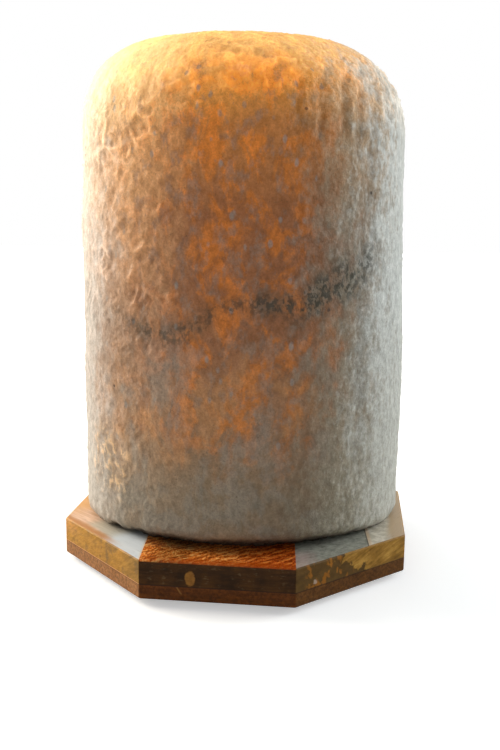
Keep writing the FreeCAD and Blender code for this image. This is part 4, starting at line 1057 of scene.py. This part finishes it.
def dress_parts(woods):
    """Puts a material on each CAD node that shows as it is, and returns the sheet brass."""
    steel = plain_metal("screw_steel", (0.62, 0.6, 0.56), 0.28)
    brass = plain_metal("nut_brass", (0.78, 0.57, 0.26), 0.25)
    contacts = plain_metal("contact_brass", (0.8, 0.61, 0.3), 0.3)
    plastic = moulded("holder_plastic", (0.8, 0.78, 0.72), 0.35)
    rubber = moulded("foot_rubber", (0.035, 0.035, 0.036), 0.7, 1100, 0.0001)
    looks = {
        **woods,
        "spring_clip": plain_metal("clip_steel", (0.55, 0.55, 0.56), 0.3),
        "holder_insert": moulded("holder_ceramic", (0.86, 0.84, 0.8), 0.5, 900, 0.00008),
        "salt_plugs": moulded("plug_plastic", (0.66, 0.66, 0.64), 0.4),
        "bulb_contact": plain_metal("solder", (0.66, 0.66, 0.68), 0.4, 400),
        "cap_insulator": moulded("black_glass", (0.02, 0.02, 0.024), 0.12, 500, 0.00005),
        "bulb_glass": clear_glass("bulb_glass", (1.0, 0.96, 0.9), 0.02),
        "bulb_stem": clear_glass("stem_glass", (0.92, 0.96, 0.93), 0.05),
        "lead_wires": plain_metal("wire", (0.62, 0.6, 0.56), 0.35, 2000),
        "bulb_filament": hot_filament(),
    }
    for material, nodes in (
        (rubber, "foot_rear_right foot_rear_left foot_front_left foot_front_right"),
        (steel, "salt_screws board_screws terminal_screws"),
        (brass, "clip_nut cord_bush"),
        (plastic, "holder_cap holder_shell"),
        (contacts, "centre_contact neutral_terminal live_terminal contact_rivets"),
    ):
        looks.update(dict.fromkeys(nodes.split(), material))
    for node, material in looks.items():
        mesh = bpy.data.objects[node].data
        mesh.materials.clear()
        mesh.materials.append(material)
    return contacts


# ---- stage

AMBIENT = 0.26
FLOOR_LIFT = 0.42  # what the camera sees the floor give off, so that it is white where it is lit
FLOOR_REACH = 3.0
FAR_FROM, FAR_TO = 0.25, 0.8  # where the floor turns white all over


def add_world():
    """Soft light all round, and plain white where the camera, a mirror or glass sees it."""
    world = bpy.data.worlds.new("studio")
    bpy.context.scene.world = world
    world.use_nodes = True
    tree = world.node_tree
    tree.nodes.clear()
    new, link = tree.nodes.new, tree.links.new
    out = new("ShaderNodeOutputWorld")
    mixer = new("ShaderNodeMixShader")
    soft = new("ShaderNodeBackground")
    soft.inputs[0].default_value = (0.93, 0.96, 1.0, 1)
    soft.inputs[1].default_value = AMBIENT
    seen = new("ShaderNodeBackground")
    seen.inputs[0].default_value = (1, 1, 1, 1)
    path = new("ShaderNodeLightPath")
    shown = path.outputs["Is Camera Ray"]
    for ray in ("Is Glossy Ray", "Is Transmission Ray"):
        either = new("ShaderNodeMath")
        either.operation = "MAXIMUM"
        link(shown, either.inputs[0])
        link(path.outputs[ray], either.inputs[1])
        shown = either.outputs[0]
    link(shown, mixer.inputs[0])
    link(soft.outputs[0], mixer.inputs[1])
    link(seen.outputs[0], mixer.inputs[2])
    link(mixer.outputs[0], out.inputs[0])


def add_floor():
    sides = ((-1, -1), (1, -1), (1, 1), (-1, 1))
    corners = [(x * FLOOR_REACH, y * FLOOR_REACH, 0) for x, y in sides]
    floor = add_mesh("floor", corners, [(0, 1, 2, 3)])
    g = Graph("floor")
    fine = g.noise(g.place(), 60, 3, 0.6)
    seen = g.node("LightPath").outputs["Is Camera Ray"]
    far = g.steps(g.length(g.place()), FAR_FROM, FAR_TO)
    lift = g.times(seen, g.plus(FLOOR_LIFT, far))
    floor.data.materials.append(
        g.finish(
            Base_Color=g.mix(fine, (0.8, 0.8, 0.79), (0.84, 0.84, 0.83)),
            Roughness=0.85,
            Specular_IOR_Level=0.1,
            Emission_Color=g.shade_by((1.0, 1.0, 1.0), lift),
            Emission_Strength=1.0,
        )
    )


LAMPS = [  # name, place, width, watts, colour
    ("lamp_left", (-0.8, 0.2, 0.42), 0.5, 11, (1.0, 0.94, 0.84)),
    ("lamp_right", (0.85, 0.28, 0.4), 0.6, 8.5, (0.92, 0.97, 1.0)),
    ("lamp_front", (-0.1, -1.1, 0.6), 0.8, 1.2, (1.0, 1.0, 1.0)),
    ("lamp_top", (-0.3, 0.1, 1.1), 0.6, 2.0, (1.0, 0.95, 0.86)),
]
LAMP_AIM = Vector((0, 0, 0.1))


def add_lamps():
    for name, place, size, power, colour in LAMPS:
        data = bpy.data.lights.new(name, "AREA")
        data.size = size
        data.energy = power
        data.color = colour
        lamp = bpy.data.objects.new(name, data)
        bpy.context.scene.collection.objects.link(lamp)
        lamp.location = place
        aim = LAMP_AIM - Vector(place)
        lamp.rotation_euler = aim.to_track_quat("-Z", "Y").to_euler()


# ---- the lamp

add_camera()
add_world()
add_floor()
add_lamps()

brass_sheet = dress_parts(
    {
        "plank_left": left_wood(),
        "plank_middle": middle_wood(),
        "plank_right": right_wood(),
        "plank_far_right": far_wood(),
        "lower_board": board_wood(),
    }
)

salt = add_salt()
salt.data.materials.append(salt_material())
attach(salt, "lamp_base")
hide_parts("salt_block")

cap_sleeve = add_threaded_sleeve("bulb_cap_thread", "bulb_cap", 6.33 * MM, 6.72 * MM, 0.17 * MM, 4 * MM)
cap_sleeve.data.materials.append(brass_sheet)
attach(cap_sleeve, "bulb")
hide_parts("bulb_cap")

shell_sleeve = add_threaded_sleeve("screw_shell_thread", "screw_shell", 7.22 * MM, 7.4 * MM, 0.1 * MM)
shell_sleeve.data.materials.append(brass_sheet)
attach(shell_sleeve, "lampholder")
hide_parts("screw_shell")

bpy.context.scene.view_settings.view_transform = "Standard"
